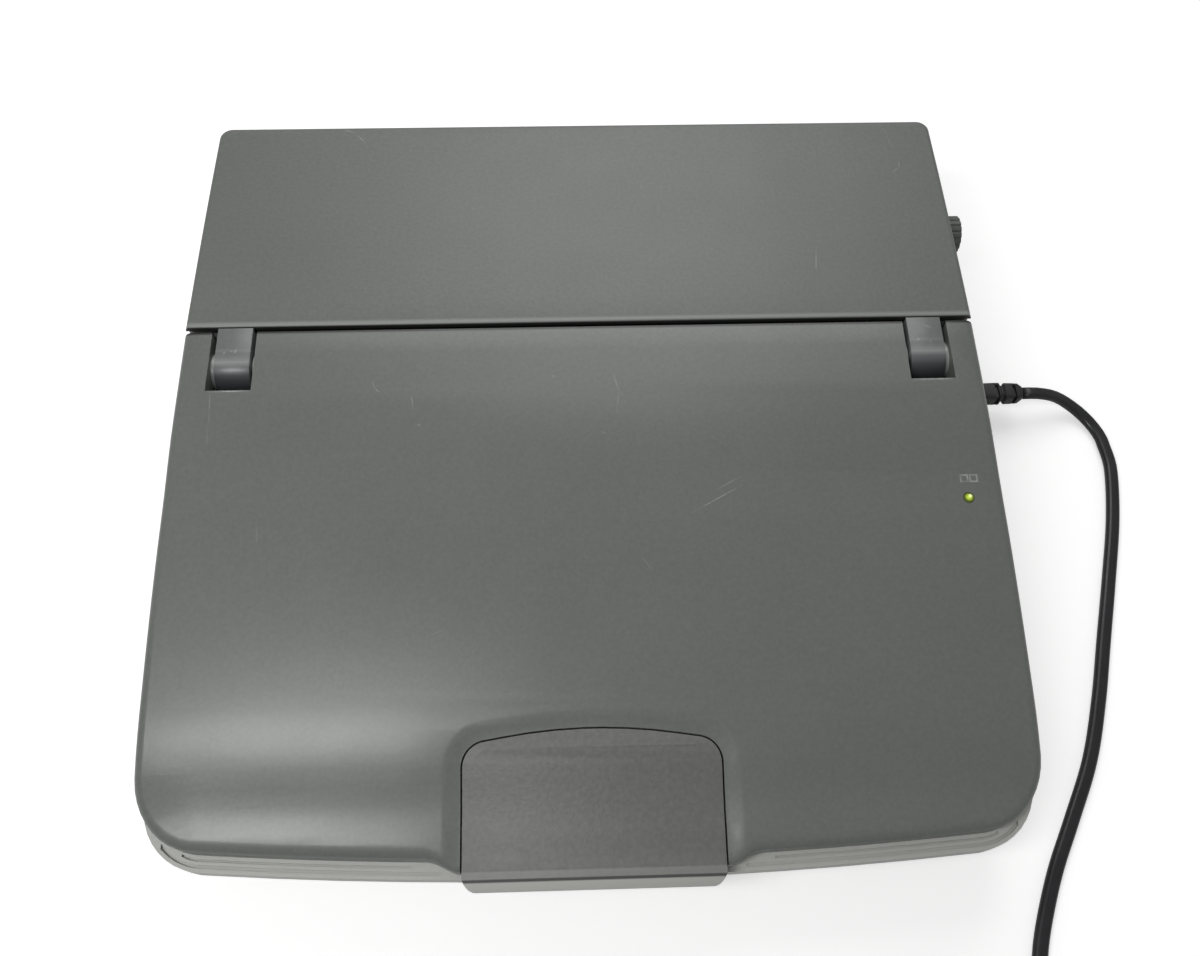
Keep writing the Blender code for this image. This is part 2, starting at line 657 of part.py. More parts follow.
def make_upper_case():
    case = carve(base_solid("upper_case", 0.0), base_solid("hollow", CASE_WALL))
    unite(case, *cover_lugs())
    reach = (TRAY_TOP, CASE_HEIGHT)
    cuts = [block("keys", widened((-FIELD_HALF, FIELD_HALF), KEY_GAP), widened(KEY_FIELD_Y, KEY_GAP), reach)]
    cuts.append(block("bay", (-BAY_HALF, BAY_HALF), BAY_Y, (HOUSING_TOP - 2 * CASE_WALL, CASE_HEIGHT)))
    hook_hole = (HOOK_Y[0] - 2 * HOOK_THICK, HOOK_Y[1] + RUN)
    cuts.append(block("strike", (-HOOK_WIDTH / 2 - RUN, HOOK_WIDTH / 2 + RUN), hook_hole, reach))
    shaft_x = (HALF - 2 * CASE_WALL, HALF + OVERRUN)
    cuts.append(drum("shaft", "X", PLATEN_AXIS, SHAFT_RADIUS + RUN, *shaft_x, 24))
    switch_x = widened((SWITCH_X, SWITCH_X), (SWITCH_LENGTH + SWITCH_TRAVEL) / 2)
    switch_y = (-DECK_CONTROL_Y - SWITCH_WIDTH / 2, -DECK_CONTROL_Y + SWITCH_WIDTH / 2)
    cuts.append(block("switch", widened(switch_x, GAP), widened(switch_y, GAP), reach))
    dial_y = (-DECK_CONTROL_Y - DIAL_RADIUS, -DECK_CONTROL_Y + DIAL_RADIUS)
    dial_x = (DIAL_X - DIAL_WIDTH / 2, DIAL_X + DIAL_WIDTH / 2)
    cuts.append(block("dial", widened(dial_x, RUN), widened(dial_y, RUN), reach))
    cuts += [drum("bore", "X", COVER_AXIS, COVER_PIN_RADIUS + GAP, *widened(lug, OVERRUN), 12)
             for lug in LUG_X]
    carve(case, *cuts, *ledge_grooves())
    return paint(case, DARK_GREY, 0.6)


def make_hinge_arm(name, x):
    """Arm from the housing over the well, ending in the barrel the lid turns on."""
    seat = LID_SWING + SEAM - GAP
    start = -acos(BARREL_RADIUS / seat)
    end = -acos(HINGE_BACK / seat)
    points = [(0, CASE_HEIGHT - ARM_TOP_DROP)]
    points += arc(HINGE_AXIS, BARREL_RADIUS, pi / 2, 2 * pi)
    points += arc(HINGE_AXIS, seat, start, end, ARC_STEPS // 2)
    arm = prism(name, points, "X", *x)
    carve(arm, drum("bore", "X", HINGE_AXIS, LID_PIN_RADIUS + RUN, x[0] - OVERRUN, x[1] + OVERRUN, 16))
    return paint(arm, (0.16, 0.165, 0.16, 1), 0.3)


LID_FLOOR_LIFT = SEAM / 2
LATCH_BACK = -LATCH_TOP - LATCH_ARCH - LATCH_BARREL
LATCH_AXIS = (LATCH_BACK, lid_top(LATCH_BACK) - LATCH_RECESS - LATCH_BARREL)
LATCH_DEPTH = LATCH_RECESS + LATCH_THICK + LATCH_SEAM + LATCH_SLACK
NOTCH_X = [(sx * HINGE_CENTRE - NOTCH_WIDTH / 2, sx * HINGE_CENTRE + NOTCH_WIDTH / 2) for sx in CASE_SIDES]
HOOK_SLOT = (HOOK_Y[0] - 2 * HOOK_THICK, HOOK_Y[1] + HOOK_BARB + LATCH_SEAM)
PIN_SPANS = [(sx * HINGE_CENTRE - LID_PIN_LENGTH / 2, sx * HINGE_CENTRE + LID_PIN_LENGTH / 2)
             for sx in CASE_SIDES]


def ease(share):
    """Smooth step from 0 to 1."""
    share = min(max(share, 0.0), 1.0)
    return share * share * (3 - 2 * share)


def rounded(distance, radius, height):
    """Drop of a rounded edge at a distance in from it."""
    share = min(max(1 - distance / radius, 0.0), 1.0)
    return height * (1 - (1 - share ** 2) ** 0.5)


def rim_distance(x, end, radius):
    """Distance in from the case's edge, and the share of it that faces the end."""
    side = HALF - abs(x)
    if max(side, end) < radius:
        reach = hypot(radius - side, radius - end)
        return radius - reach, ((radius - end) / reach) ** 2
    return (side, 0.0) if side < end else (end, 1.0)


def front_bow(x):
    """Y of the lid's front line: bowed between the corners, and swelling forward beside the lever."""
    swell = FLARE_REACH * (1 - ease((abs(x) - LATCH_HALF_WIDTH) / FLARE_SPREAD))
    return -LID_DEPTH + FRONT_BOW * (min(abs(x), HALF - FRONT_CORNER) / HALF) ** 2 - swell


def arched(x):
    """How far the lever's upper edge falls back at a distance from its middle."""
    return LATCH_ARCH * (min(abs(x) / (LATCH_HALF_WIDTH - LATCH_CORNER), 1.0)) ** 2


def lid_height(x, y):
    """Lid's top with its rounded edges and the bevel round the lever."""
    distance, turn = rim_distance(x, y - front_bow(x), FRONT_CORNER)
    edge = rounded(distance, LID_EDGE, LID_EDGE + (LID_NOSE_EDGE - LID_EDGE) * turn)
    back = rounded(-LID_REAR - y, LID_BACK_EDGE, LID_BACK_EDGE)
    ahead = max(y + LATCH_TOP + arched(x) + LATCH_CORNER, 0.0)
    beside = max(abs(x) - LATCH_HALF_WIDTH + LATCH_CORNER, 0.0)
    out = hypot(beside, ahead) - LATCH_CORNER - LATCH_SEAM
    return lid_top(y) - edge - back - FLARE_DROP * (1 - ease(out / FLARE_WIDTH))


def cover_height(x, y):
    """Cover's slightly crowned top with its rounded edges."""
    edge = rounded(rim_distance(x, COVER_DEPTH - y, REAR_CORNER)[0], COVER_EDGE, COVER_EDGE)
    front = rounded(y - SEAM, COVER_EDGE / 2, COVER_EDGE / 2)
    return cover_top(y) - max(edge, front)


def end_line(line, way, radius, places, inset):
    """Plan line along one side, round the two corners of an end and back along the other side."""
    edge = HALF - radius
    middle = line(edge) - way * radius
    small = radius - inset
    side = [(HALF - inset, y) for y in places if (middle - y) * way > 0]
    turns = [pi / 2 * i / CORNER_STEPS for i in range(CORNER_STEPS + 1)]
    right = side + [(edge + small * cos(turn), middle + way * small * sin(turn)) for turn in turns]
    stops = [edge * i / BOW_STEPS for i in range(BOW_STEPS)]
    stops += [LATCH_HALF_WIDTH + FLARE_SPREAD * share for share in SPREAD_SHARES]
    stops = sorted({round(x, 5) for x in stops} - {0.0}, reverse=True)
    right += [(x, line(x) - way * inset) for x in stops]
    return right + [(0.0, line(0.0) - way * inset)] + [(-x, y) for x, y in right[::-1]]


def domed(name, rim, lines, height):
    """Solid over a plan rim down to zero; its top follows a height function through the lines' points."""
    points = [Vector(pair) for pair in rim]
    edges = []
    for line in lines:
        edges += [(i, i + 1) for i in range(len(points), len(points) + len(line) - 1)]
        points += [Vector(pair) for pair in line]
    places, _, faces, *_ = geometry.delaunay_2d_cdt(points, edges, [range(len(rim))], 1, MERGE)
    shape = bmesh.new()
    top = [shape.verts.new((x, y, height(x, y))) for x, y in places]
    for face in faces:
        shape.faces.new([top[i] for i in face])
    bmesh.ops.delete(shape, geom=[vert for vert in top if not vert.link_faces], context="VERTS")
    rim_edges = [edge for edge in shape.edges if edge.is_boundary]
    grown = bmesh.ops.extrude_edge_only(shape, edges=rim_edges)["geom"]
    for vert in grown:
        if isinstance(vert, bmesh.types.BMVert):
            vert.co.z = 0
    bmesh.ops.edgeloop_fill(shape, edges=[edge for edge in shape.edges if edge.is_boundary])
    return from_bmesh(name, shape)


def lid_places():
    """Places from the back of the lid's top to its front, closer where it falls away."""
    places = [-LID_DEPTH * (1 - (1 - i / LID_ROWS) ** ROW_SHARE_POWER) for i in range(1, LID_ROWS)]
    return [OVERRUN, -LID_REAR, -LID_REAR - LID_BACK_EDGE / 2, -LID_REAR - LID_BACK_EDGE, *places]


def lid_solid():
    """Lid without its cavity: rounded top, bowed front and the round heel about the hinge."""
    places = lid_places()
    rings = [end_line(front_bow, -1, FRONT_CORNER, places, LID_EDGE * share) for share in EDGE_SHARES]
    lines = rings[1:]
    for share in FLARE_SHARES:
        grow = LATCH_SEAM + FLARE_WIDTH * share
        half = LATCH_HALF_WIDTH + grow
        lines.append(tongue(half, grow - LATCH_TOP, front_bow(half) + GAP, LATCH_CORNER + grow))
    for y in places[1:]:
        row = [-HALF + 2 * HALF * i / LID_COLUMNS for i in range(1, LID_COLUMNS)]
        lines.append([(x, y) for x in row if rim_distance(x, y - front_bow(x), FRONT_CORNER)[0] > LID_EDGE])
    lid = domed("lid_shell", rings[0], [line for line in lines if line], lid_height)
    return common(lid, prism("side", lid_profile(), "X", -HALF - OVERRUN, HALF + OVERRUN))


def top_points(drop, back, front):
    """The lid's top line, lowered by a drop, between two places on Y, back to front."""
    inner = [y for y in lid_places()[1:] if front < y < back]
    return [(y, lid_top(y) - drop) for y in [back, *inner, front]]


def lid_profile():
    """Side view of the lid's solid under its top, with its round heel about the hinge."""
    front = -LID_DEPTH - OVERRUN
    heel = arc(HINGE_AXIS, LID_SWING, -acos((HINGE_BACK - LID_REAR) / LID_SWING),
               meets_parting(LID_SWING, LID_FLOOR_LIFT))
    return [(-LID_REAR, 2 * CASE_HEIGHT), (front, 2 * CASE_HEIGHT),
            (front, parting(front) + LID_FLOOR_LIFT)] + heel[::-1]


def hollow_profile():
    """Side view of the lid's cavity, open underneath ahead of the heel."""
    radius = LID_SWING - LID_WALL
    front = -LID_DEPTH + LID_WALL
    back = -LID_REAR - LID_WALL
    heel = arc(HINGE_AXIS, radius, -pi + acos((LID_OPEN_BACK - HINGE_BACK) / radius),
               -acos((HINGE_BACK - LID_REAR - LID_WALL) / radius))
    return top_points(LID_WALL, back, front) + [(front, TRAY_TOP), (-LID_OPEN_BACK, TRAY_TOP)] + heel


def tongue(half, back, front, radius):
    """Plan of the latch: straight sides, rounded back corners and an arched back edge."""
    edge = half - radius
    lean = atan(2 * LATCH_ARCH / edge)
    right = arc((edge, back - LATCH_ARCH - radius), radius, 0, pi / 2 - lean, CORNER_STEPS)
    arch = [(edge * share, back - LATCH_ARCH * share ** 2) for share in ARCH_SHARES]
    left = [(-x, y) for x, y in (right + arch)[::-1]]
    return [(half, front), *right, *arch, *left, (-half, front)]


def latch_bay():
    """Recess of the latch in the lid: a sloping floor, a groove for the barrel and the hook's slot."""
    back = -LATCH_TOP + LATCH_SEAM
    front = -LID_DEPTH - 2 * OVERRUN
    side = top_points(LATCH_DEPTH, back, front) + [(front, CASE_HEIGHT), (back, CASE_HEIGHT)]
    half = LATCH_HALF_WIDTH + LATCH_SEAM
    bay = prism("bay", side, "X", -half - OVERRUN, half + OVERRUN)
    common(bay, prism("plan", tongue(half, back, front, LATCH_CORNER + LATCH_SEAM), "Z", 0, 2 * CASE_HEIGHT))
    groove_half = half - LATCH_CORNER
    groove = drum("groove", "X", LATCH_AXIS, LATCH_BARREL + LATCH_SEAM, -groove_half, groove_half, 20)
    slot = block("slot", (-HOOK_WIDTH / 2 - RUN, HOOK_WIDTH / 2 + RUN), HOOK_SLOT, (TRAY_TOP, CASE_HEIGHT))
    nose = block("nose", (-half, half), (front, -LID_DEPTH), (0, CASE_HEIGHT))
    return unite(bay, groove, slot, nose)


def make_lid():
    lid = lid_solid()
    ears = [drum("ear", "X", HINGE_AXIS, EAR_RADIUS, *span, 24) for x in NOTCH_X
            for span in ((x[0] - EAR_PROUD, x[0] + EAR_PROUD), (x[1] - EAR_PROUD, x[1] + EAR_PROUD))]
    hollow = prism("hollow", hollow_profile(), "X", -HALF, HALF)
    common(hollow, prism("plan", case_outline(-LID_DEPTH, COVER_DEPTH, LID_WALL), "Z", 0, 2 * CASE_HEIGHT))
    liners = [block("liner", widened(x, LID_WALL), (-NOTCH_DEPTH - LID_WALL, OVERRUN), (0, 2 * CASE_HEIGHT))
              for x in NOTCH_X]
    lean_back = -NOTCH_DEPTH - NOTCH_LEAN - LID_WALL
    liners += [block("liner", widened(x, LID_WALL), (lean_back, OVERRUN), (HINGE_AXIS[1], 2 * CASE_HEIGHT))
               for x in NOTCH_X]
    bay_half = LATCH_HALF_WIDTH + LATCH_SEAM + LID_WALL
    liners.append(block("liner", (-bay_half, bay_half), (-LID_DEPTH - OVERRUN, -LATCH_TOP + LID_WALL),
                        (0, 2 * CASE_HEIGHT)))
    carve(hollow, *liners)
    cuts = [hollow, latch_bay()]
    cuts += [block("notch", x, (-NOTCH_DEPTH, OVERRUN), (0, 2 * CASE_HEIGHT)) for x in NOTCH_X]
    lean = [(-HINGE_BACK, HINGE_AXIS[1] + NOTCH_LEAN_RISE), (-NOTCH_DEPTH, HINGE_AXIS[1] + NOTCH_LEAN_RISE),
            (-NOTCH_DEPTH - NOTCH_LEAN, CASE_HEIGHT), (-HINGE_BACK, CASE_HEIGHT)]
    cuts += [prism("lean", lean, "X", *x) for x in NOTCH_X]
    bores = [drum("bore", "X", HINGE_AXIS, LID_PIN_RADIUS + GAP, *widened(span, GAP), 16)
             for span in PIN_SPANS]
    pin_reach = LATCH_HALF_WIDTH + 2 * LATCH_BARREL - LATCH_CORNER + GAP
    cuts.append(drum("pin", "X", LATCH_AXIS, LATCH_PIN_RADIUS + GAP, -pin_reach, pin_reach, 12))
    cuts.append(drum("lens", "Z", (LENS_X, -LENS_Y), LENS_RADIUS + GAP, PLATEN_HEIGHT, 2 * CASE_HEIGHT, 16))
    carve(lid, *cuts)
    unite(lid, *ears)
    carve(lid, *bores)
    return paint(lid, DARK_GREY, 0.55)


def make_latch():
    """Lever plate with its barrel, front lip and hook."""
    front = -LID_DEPTH - SEAM
    under = top_points(LATCH_RECESS + LATCH_THICK, -LATCH_TOP, front)
    lip_bottom = parting(-LATCH_LIP_REACH) + SEAM
    upper = top_points(LATCH_RECESS, -LATCH_TOP, front)
    lip = [(-LATCH_LIP_REACH + LATCH_LIP_TOP, lip_bottom + LATCH_LIP_DROP), (-LATCH_LIP_REACH, lip_bottom),
           (front, lip_bottom)]
    half = LATCH_HALF_WIDTH
    lever = prism("latch_lever", upper + lip + under[::-1], "X", -half, half)
    plan = tongue(half, -LATCH_TOP, -LATCH_LIP_REACH + LIP_CORNER, LATCH_CORNER)
    lip_edge = half - LIP_CORNER
    plan += arc((-lip_edge, LIP_CORNER - LATCH_LIP_REACH), LIP_CORNER, pi, 3 * pi / 2, CORNER_STEPS)[1:]
    plan += arc((lip_edge, LIP_CORNER - LATCH_LIP_REACH), LIP_CORNER, 3 * pi / 2, 2 * pi, CORNER_STEPS)[:-1]
    barrel_half = half - LATCH_CORNER
    barrel = drum("barrel", "X", LATCH_AXIS, LATCH_BARREL, -barrel_half, barrel_half, 20)
    unite(lever, barrel)
    common(lever, prism("plan", plan, "Z", 0, CASE_HEIGHT))
    plate = parting(HOOK_BACK) - SEAM / 2 - CASE_WALL
    low = parting(HOOK_BACK) - HOOK_REACH
    tip = plate - RUN - HOOK_BARB * HOOK_SLOPE_SHARE
    top = lid_top(HOOK_BACK) - LATCH_RECESS - LATCH_THICK / 2
    hook = [(HOOK_Y[0], top), (HOOK_Y[0], low), (HOOK_Y[1], low), (HOOK_Y[1] + HOOK_BARB, tip),
            (HOOK_Y[1], plate - RUN), (HOOK_Y[1], top)]
    unite(lever, prism("hook", hook, "X", -HOOK_WIDTH / 2, HOOK_WIDTH / 2))
    carve(lever, drum("bore", "X", LATCH_AXIS, LATCH_PIN_RADIUS + GAP, -half - OVERRUN, half + OVERRUN, 12))
    pivot(lever, (0, *LATCH_AXIS))
    paint(lever, (0.14, 0.14, 0.137, 1), 0.6)
    reach = half + 2 * LATCH_BARREL - LATCH_CORNER
    paint(drum("latch_pin", "X", LATCH_AXIS, LATCH_PIN_RADIUS, -reach, reach, 12), STEEL, 0.3, 1.0)


def make_lid_pins():
    for name, span in zip(("left_lid_pin", "right_lid_pin"), PIN_SPANS):
        paint(drum(name, "X", HINGE_AXIS, LID_PIN_RADIUS, *span, 16), STEEL, 0.3, 1.0)


def make_display():
    """Bezel across the lid's underside, the panel behind its window and the indicator lens."""
    back = -LID_OPEN_BACK - GAP
    bay = LATCH_HALF_WIDTH + LATCH_SEAM + LID_WALL + GAP
    plan = case_outline(-LID_DEPTH, COVER_DEPTH, LID_WALL + GAP)
    bezel = prism("display_bezel", plan, "Z", BEZEL_LIFT, BEZEL_LIFT + BEZEL_THICK)
    keep = [(HALF, back), (-HALF, back), (-HALF, -LID_DEPTH), (-bay, -LID_DEPTH),
            (-bay, -LATCH_TOP + LID_WALL + GAP), (bay, -LATCH_TOP + LID_WALL + GAP), (bay, -LID_DEPTH),
            (HALF, -LID_DEPTH)]
    common(bezel, prism("keep", keep, "Z", 0, CASE_HEIGHT))
    window_x = (-SCREEN_WIDTH / 2, SCREEN_WIDTH / 2)
    window_y = (-SCREEN_BACK - SCREEN_DEPTH, -SCREEN_BACK)
    carve(bezel, block("window", window_x, window_y, (0, CASE_HEIGHT)))
    paint(slant(bezel), DARK_GREY, 0.6)
    low = BEZEL_LIFT + BEZEL_THICK + GAP
    panel = block("lcd_panel", widened(window_x, PANEL_MARGIN), widened(window_y, PANEL_MARGIN),
                  (low, low + PANEL_THICK))
    paint(slant(panel), (0.28, 0.34, 0.28, 1), 0.25)
    top = lid_top(-LENS_Y)
    lens = drum("indicator_lens", "Z", (LENS_X, -LENS_Y), LENS_RADIUS, top - LID_WALL - LENS_PROUD,
                top + LENS_PROUD, 16)
    paint(lens, (0.35, 0.8, 0.05, 1), 0.2)


COVER_BOTTOM = HOUSING_TOP + SEAM
COVER_AXIS = (COVER_DEPTH - COVER_HEEL, COVER_BOTTOM + COVER_HEEL)
LUG_X = [(min(sx * COVER_LUG_X, sx * (COVER_LUG_X + COVER_LUG_WIDTH)),
          max(sx * COVER_LUG_X, sx * (COVER_LUG_X + COVER_LUG_WIDTH))) for sx in CASE_SIDES]

PIN_X = [(lug[0] - GAP, lug[1] + COVER_LUG_WIDTH) if sx > 0 else (lug[0] - COVER_LUG_WIDTH, lug[1] + GAP)
         for sx, lug in zip(CASE_SIDES, LUG_X)]


def cover_top(y):
    """Height of the slightly crowned top of the printer cover."""
    share = y / COVER_DEPTH
    return CASE_HEIGHT - COVER_CROWN * (2 * share - 1) ** 2


def cover_profile():
    """Side view of the printer cover's solid under its top: front lip, wall and the round lower back edge."""
    low = CASE_HEIGHT - COVER_LIP
    top = 2 * CASE_HEIGHT
    heel = arc(COVER_AXIS, COVER_HEEL, 0, -pi / 2, 5)
    return [(WELL_BACK, COVER_BOTTOM), (WELL_BACK, low), (0, low), (0, top), (COVER_DEPTH + OVERRUN, top),
            (COVER_DEPTH + OVERRUN, COVER_AXIS[1])] + heel


def cover_solid():
    """Cover without its cavity."""
    fine = [SEAM + COVER_EDGE / 2 * share for share in EDGE_SHARES]
    places = fine + [COVER_DEPTH * share for share in CROWN_SHARES]
    rings = [end_line(lambda x: COVER_DEPTH, 1, REAR_CORNER, places, COVER_EDGE * share)
             for share in EDGE_SHARES]
    lines = rings[1:]
    for y in places[1:] + [COVER_DEPTH - REAR_CORNER]:
        lines.append([(HALF * share, y) for share in COVER_COLUMN_SHARES])
    cover = domed("printer_cover", rings[0], lines, cover_height)
    return common(cover, prism("side", cover_profile(), "X", -HALF - OVERRUN, HALF + OVERRUN))


def cover_hollow():
    """Side view of the printer cover's cavity, open underneath."""
    wall = COVER_WALL
    front = WELL_BACK + wall
    back = COVER_DEPTH - wall
    edge = COVER_EDGE - wall / 2
    corner = arc((back - edge, cover_top(back) - wall - edge), edge, pi / 2, 0, 4)
    crown = [COVER_DEPTH * share for share in CROWN_SHARES]
    heel = arc(COVER_AXIS, COVER_HEEL - wall, 0, -pi / 2, 5)
    return [(front, COVER_BOTTOM - OVERRUN), (front, cover_top(front) - wall),
            *[(y, cover_top(y) - wall) for y in crown], *corner, *heel,
            (COVER_AXIS[0], COVER_BOTTOM - OVERRUN)]


def make_cover():
    cover = cover_solid()
    hollow = prism("hollow", cover_hollow(), "X", -HALF, HALF)
    outline = case_outline(-LID_DEPTH, COVER_DEPTH, COVER_WALL)
    common(hollow, prism("plan", outline, "Z", 0, 2 * CASE_HEIGHT))
    y, z = COVER_AXIS
    bosses = []
    notches = []
    for sx, lug in zip(CASE_SIDES, LUG_X):
        ends = (lug[1] + RUN, HALF) if sx > 0 else (-HALF, lug[0] - RUN)
        bosses.append(block("boss", ends, (y - COVER_BOSS, COVER_DEPTH), (COVER_BOTTOM, z + COVER_BOSS)))
        notches.append(block("notch", widened(lug, RUN), (y - COVER_HEEL, COVER_DEPTH + OVERRUN),
                             (HOUSING_TOP - OVERRUN, z + COVER_HEEL)))
    carve(hollow, *bosses)
    bores = [drum("bore", "X", COVER_AXIS, COVER_PIN_RADIUS + GAP, *widened(span, GAP), 12)
             for span in PIN_X]
    carve(cover, hollow, *notches, *bores)
    pivot(cover, (0, *COVER_AXIS))
    paint(cover, DARK_GREY, 0.55)
    for name, span in zip(("left_cover_pin", "right_cover_pin"), PIN_X):
        paint(drum(name, "X", COVER_AXIS, COVER_PIN_RADIUS, *span, 12), STEEL, 0.3, 1.0)


def cover_lugs():
    """Knuckles on the housing's rim that hold the cover's pins."""
    lugs = []
    y, z = COVER_AXIS
    radius = COVER_LUG_RADIUS
    outline = [(y + radius, HOUSING_TOP - CASE_WALL / 2), *arc(COVER_AXIS, radius, 0, pi, 8),
               (y - radius, HOUSING_TOP - CASE_WALL / 2)]
    for lug in LUG_X:
        lugs.append(prism("lug", outline, "X", *lug))
    return lugs


CHEEKS = [(-CHEEK_OUT, -CHEEK_OUT + CHASSIS_THICK), (CHEEK_OUT - CHASSIS_THICK, CHEEK_OUT)]
CHASSIS_Y = (CHASSIS_FRONT, CHASSIS_BACK)
CHASSIS_FLOOR = TRAY_FLOOR + CHASSIS_RISE
GEAR_CENTRES = PLATEN_GEAR_RADIUS + FEED_GEAR_RADIUS
FEED_AXIS = (PLATEN_BACK + MESH_SHARES[0] * GEAR_CENTRES, PLATEN_HEIGHT - MESH_SHARES[1] * GEAR_CENTRES)
GEAR_X = (CHEEKS[1][0] - RUN - PLATEN_GEAR_WIDTH, CHEEKS[1][0] - RUN)
ROD_AXIS = (ROD_BACK, ROD_HEIGHT)
BAIL_AXIS = (BAIL_BACK, BAIL_HEIGHT)
FEED_SHAFT = SHAFT_RADIUS / 2


def make_chassis():
    """H-shaped printer frame: two cheeks on the tray floor and a plate between them."""
    frame = block("printer_chassis", (-CHEEK_OUT, CHEEK_OUT), CHASSIS_Y, (TRAY_FLOOR + GAP, CHEEK_TOP))
    inside = (CHEEKS[0][1], CHEEKS[1][0])
    deep = widened(CHASSIS_Y, OVERRUN)
    cuts = [block("above", inside, deep, (CHASSIS_FLOOR + CHASSIS_THICK, CASE_HEIGHT)),
            block("below", inside, deep, (0, CHASSIS_FLOOR))]
    wide = (-HALF, HALF)
    cuts.append(drum("platen", "X", PLATEN_AXIS, SHAFT_RADIUS + RUN, *wide, 24))
    cuts.append(drum("rod", "X", ROD_AXIS, ROD_RADIUS + GAP, *wide, 16))
    cuts.append(drum("bail", "X", BAIL_AXIS, BAIL_RADIUS + GAP, *wide, 12))
    cuts.append(drum("feed", "X", FEED_AXIS, FEED_SHAFT + RUN, 0, HALF, 16))
    carve(frame, *cuts)
    return paint(frame, STEEL, 0.4, 1.0)


def gear_outline(centre, radius, teeth, phase):
    """Trapezoid teeth about a pitch circle, with a tooth pointing along the phase."""
    points = []
    pitch = 2 * pi / teeth
    for i in range(teeth):
        middle = phase + pitch * i
        for share, reach in TOOTH_SHARES:
            angle = middle + share * pitch
            distance = radius + reach * TOOTH_DEPTH
            points.append((centre[0] + distance * cos(angle), centre[1] + distance * sin(angle)))
    return points


def make_platen():
    """Roller with its shaft, the gear and the knob on that shaft, and the feed pinion in mesh."""
    half = PLATEN_HALF_LENGTH
    end = HALF + KNOB_PROUD - 2 * CASE_WALL
    profile = ((-CHEEK_OUT - CHASSIS_THICK, SHAFT_RADIUS), (-half, SHAFT_RADIUS), (-half, PLATEN_RADIUS),
               (half, PLATEN_RADIUS), (half, SHAFT_RADIUS), (end, SHAFT_RADIUS))
    roller = turned("platen_roller", "X", PLATEN_AXIS, profile, 28)
    paint(pivot(roller, (0, *PLATEN_AXIS)), (0.03, 0.03, 0.03, 1), 0.7)
    mesh_angle = -acos(MESH_SHARES[0])
    gear = prism("platen_gear", gear_outline(PLATEN_AXIS, PLATEN_GEAR_RADIUS, GEAR_TEETH[0], mesh_angle),
                 "X", *GEAR_X)
    carve(gear, drum("bore", "X", PLATEN_AXIS, SHAFT_RADIUS + GAP, 0, HALF, 24))
    paint(pivot(gear, (0, *PLATEN_AXIS)), (0.75, 0.75, 0.72, 1), 0.5)
    phase = mesh_angle + pi + pi / GEAR_TEETH[1]
    outline = gear_outline(FEED_AXIS, FEED_GEAR_RADIUS, GEAR_TEETH[1], phase)
    pinion = prism("feed_pinion", outline, "X", *GEAR_X)
    shaft_end = CHEEK_OUT + CASE_WALL * 2
    unite(pinion, drum("shaft", "X", FEED_AXIS, FEED_SHAFT, GEAR_X[0] + GAP, shaft_end, 16))
    paint(pivot(pinion, (0, *FEED_AXIS)), (0.75, 0.75, 0.72, 1), 0.5)
    outside = CHEEK_OUT + GAP
    motor = drum("feed_motor", "X", FEED_AXIS, FEED_MOTOR_RADIUS, outside, outside + FEED_MOTOR_LENGTH, 20)
    carve(motor, drum("bore", "X", FEED_AXIS, FEED_SHAFT + RUN, CHEEK_OUT - OVERRUN, shaft_end + RUN, 16))
    paint(motor, STEEL, 0.45, 1.0)
    knob_start = HALF + KNOB_PROUD - KNOB_LENGTH
    outline = []
    for i in range(KNOB_FLUTES * 4):
        angle = 2 * pi * i / (KNOB_FLUTES * 4)
        reach = KNOB_RADIUS - (KNOB_FLUTE if i % 4 == 0 else 0.0)
        outline.append((PLATEN_AXIS[0] + reach * cos(angle), PLATEN_AXIS[1] + reach * sin(angle)))
    knob = prism("platen_knob", outline, "X", knob_start, HALF + KNOB_PROUD)
    carve(knob, drum("bore", "X", PLATEN_AXIS, SHAFT_RADIUS + GAP, HALF - OVERRUN, end + GAP, 24))
    paint(pivot(knob, (0, *PLATEN_AXIS)), (0.12, 0.125, 0.12, 1), 0.5)


CARRIAGE_Y = (CARRIAGE_FRONT, CARRIAGE_BACK)
BELT_RUN = BELT_BACK + PULLEY_RADIUS
HEAD_Y = (CARRIAGE_BACK - CASE_WALL, PLATEN_BACK - PLATEN_RADIUS - SEAM)


def make_carriage():
    """Print carriage on its rod, with the head facing the roller and the ribbon cassette on top."""
    half = CARRIAGE_HALF_WIDTH
    carriage = block("print_carriage", (-half, half), CARRIAGE_Y, (CARRIAGE_BASE, CARRIAGE_TOP))
    head = block("head", (-HEAD_HALF_WIDTH, HEAD_HALF_WIDTH), HEAD_Y, (CARRIAGE_BASE + CASE_WALL, HEAD_TOP))
    clip = block("clip", (-HEAD_HALF_WIDTH, HEAD_HALF_WIDTH), (BELT_RUN, BELT_RUN + BELT_THICK),
                 (BELT_HEIGHT + BELT_WIDTH + GAP, CARRIAGE_BASE + CASE_WALL))
    unite(carriage, head, clip)
    carve(carriage, drum("bore", "X", ROD_AXIS, ROD_RADIUS + RUN / 2, -HALF, HALF, 16))
    paint(carriage, (0.05, 0.05, 0.055, 1), 0.5)
    half = CASSETTE_HALF_WIDTH
    low = CARRIAGE_TOP + GAP
    top = low + CASSETTE_HEIGHT
    cassette = block("ribbon_cassette", (-half, half), (CASSETTE_FRONT, CASSETTE_BACK), (low, top))
    window = block("window", (-HEAD_HALF_WIDTH - RUN, HEAD_HALF_WIDTH + RUN),
                   (HEAD_Y[0] - RUN, CASSETTE_BACK + OVERRUN), (low - OVERRUN, top + OVERRUN))
    carve(cassette, window)
    paint(cassette, BLACK, 0.45)


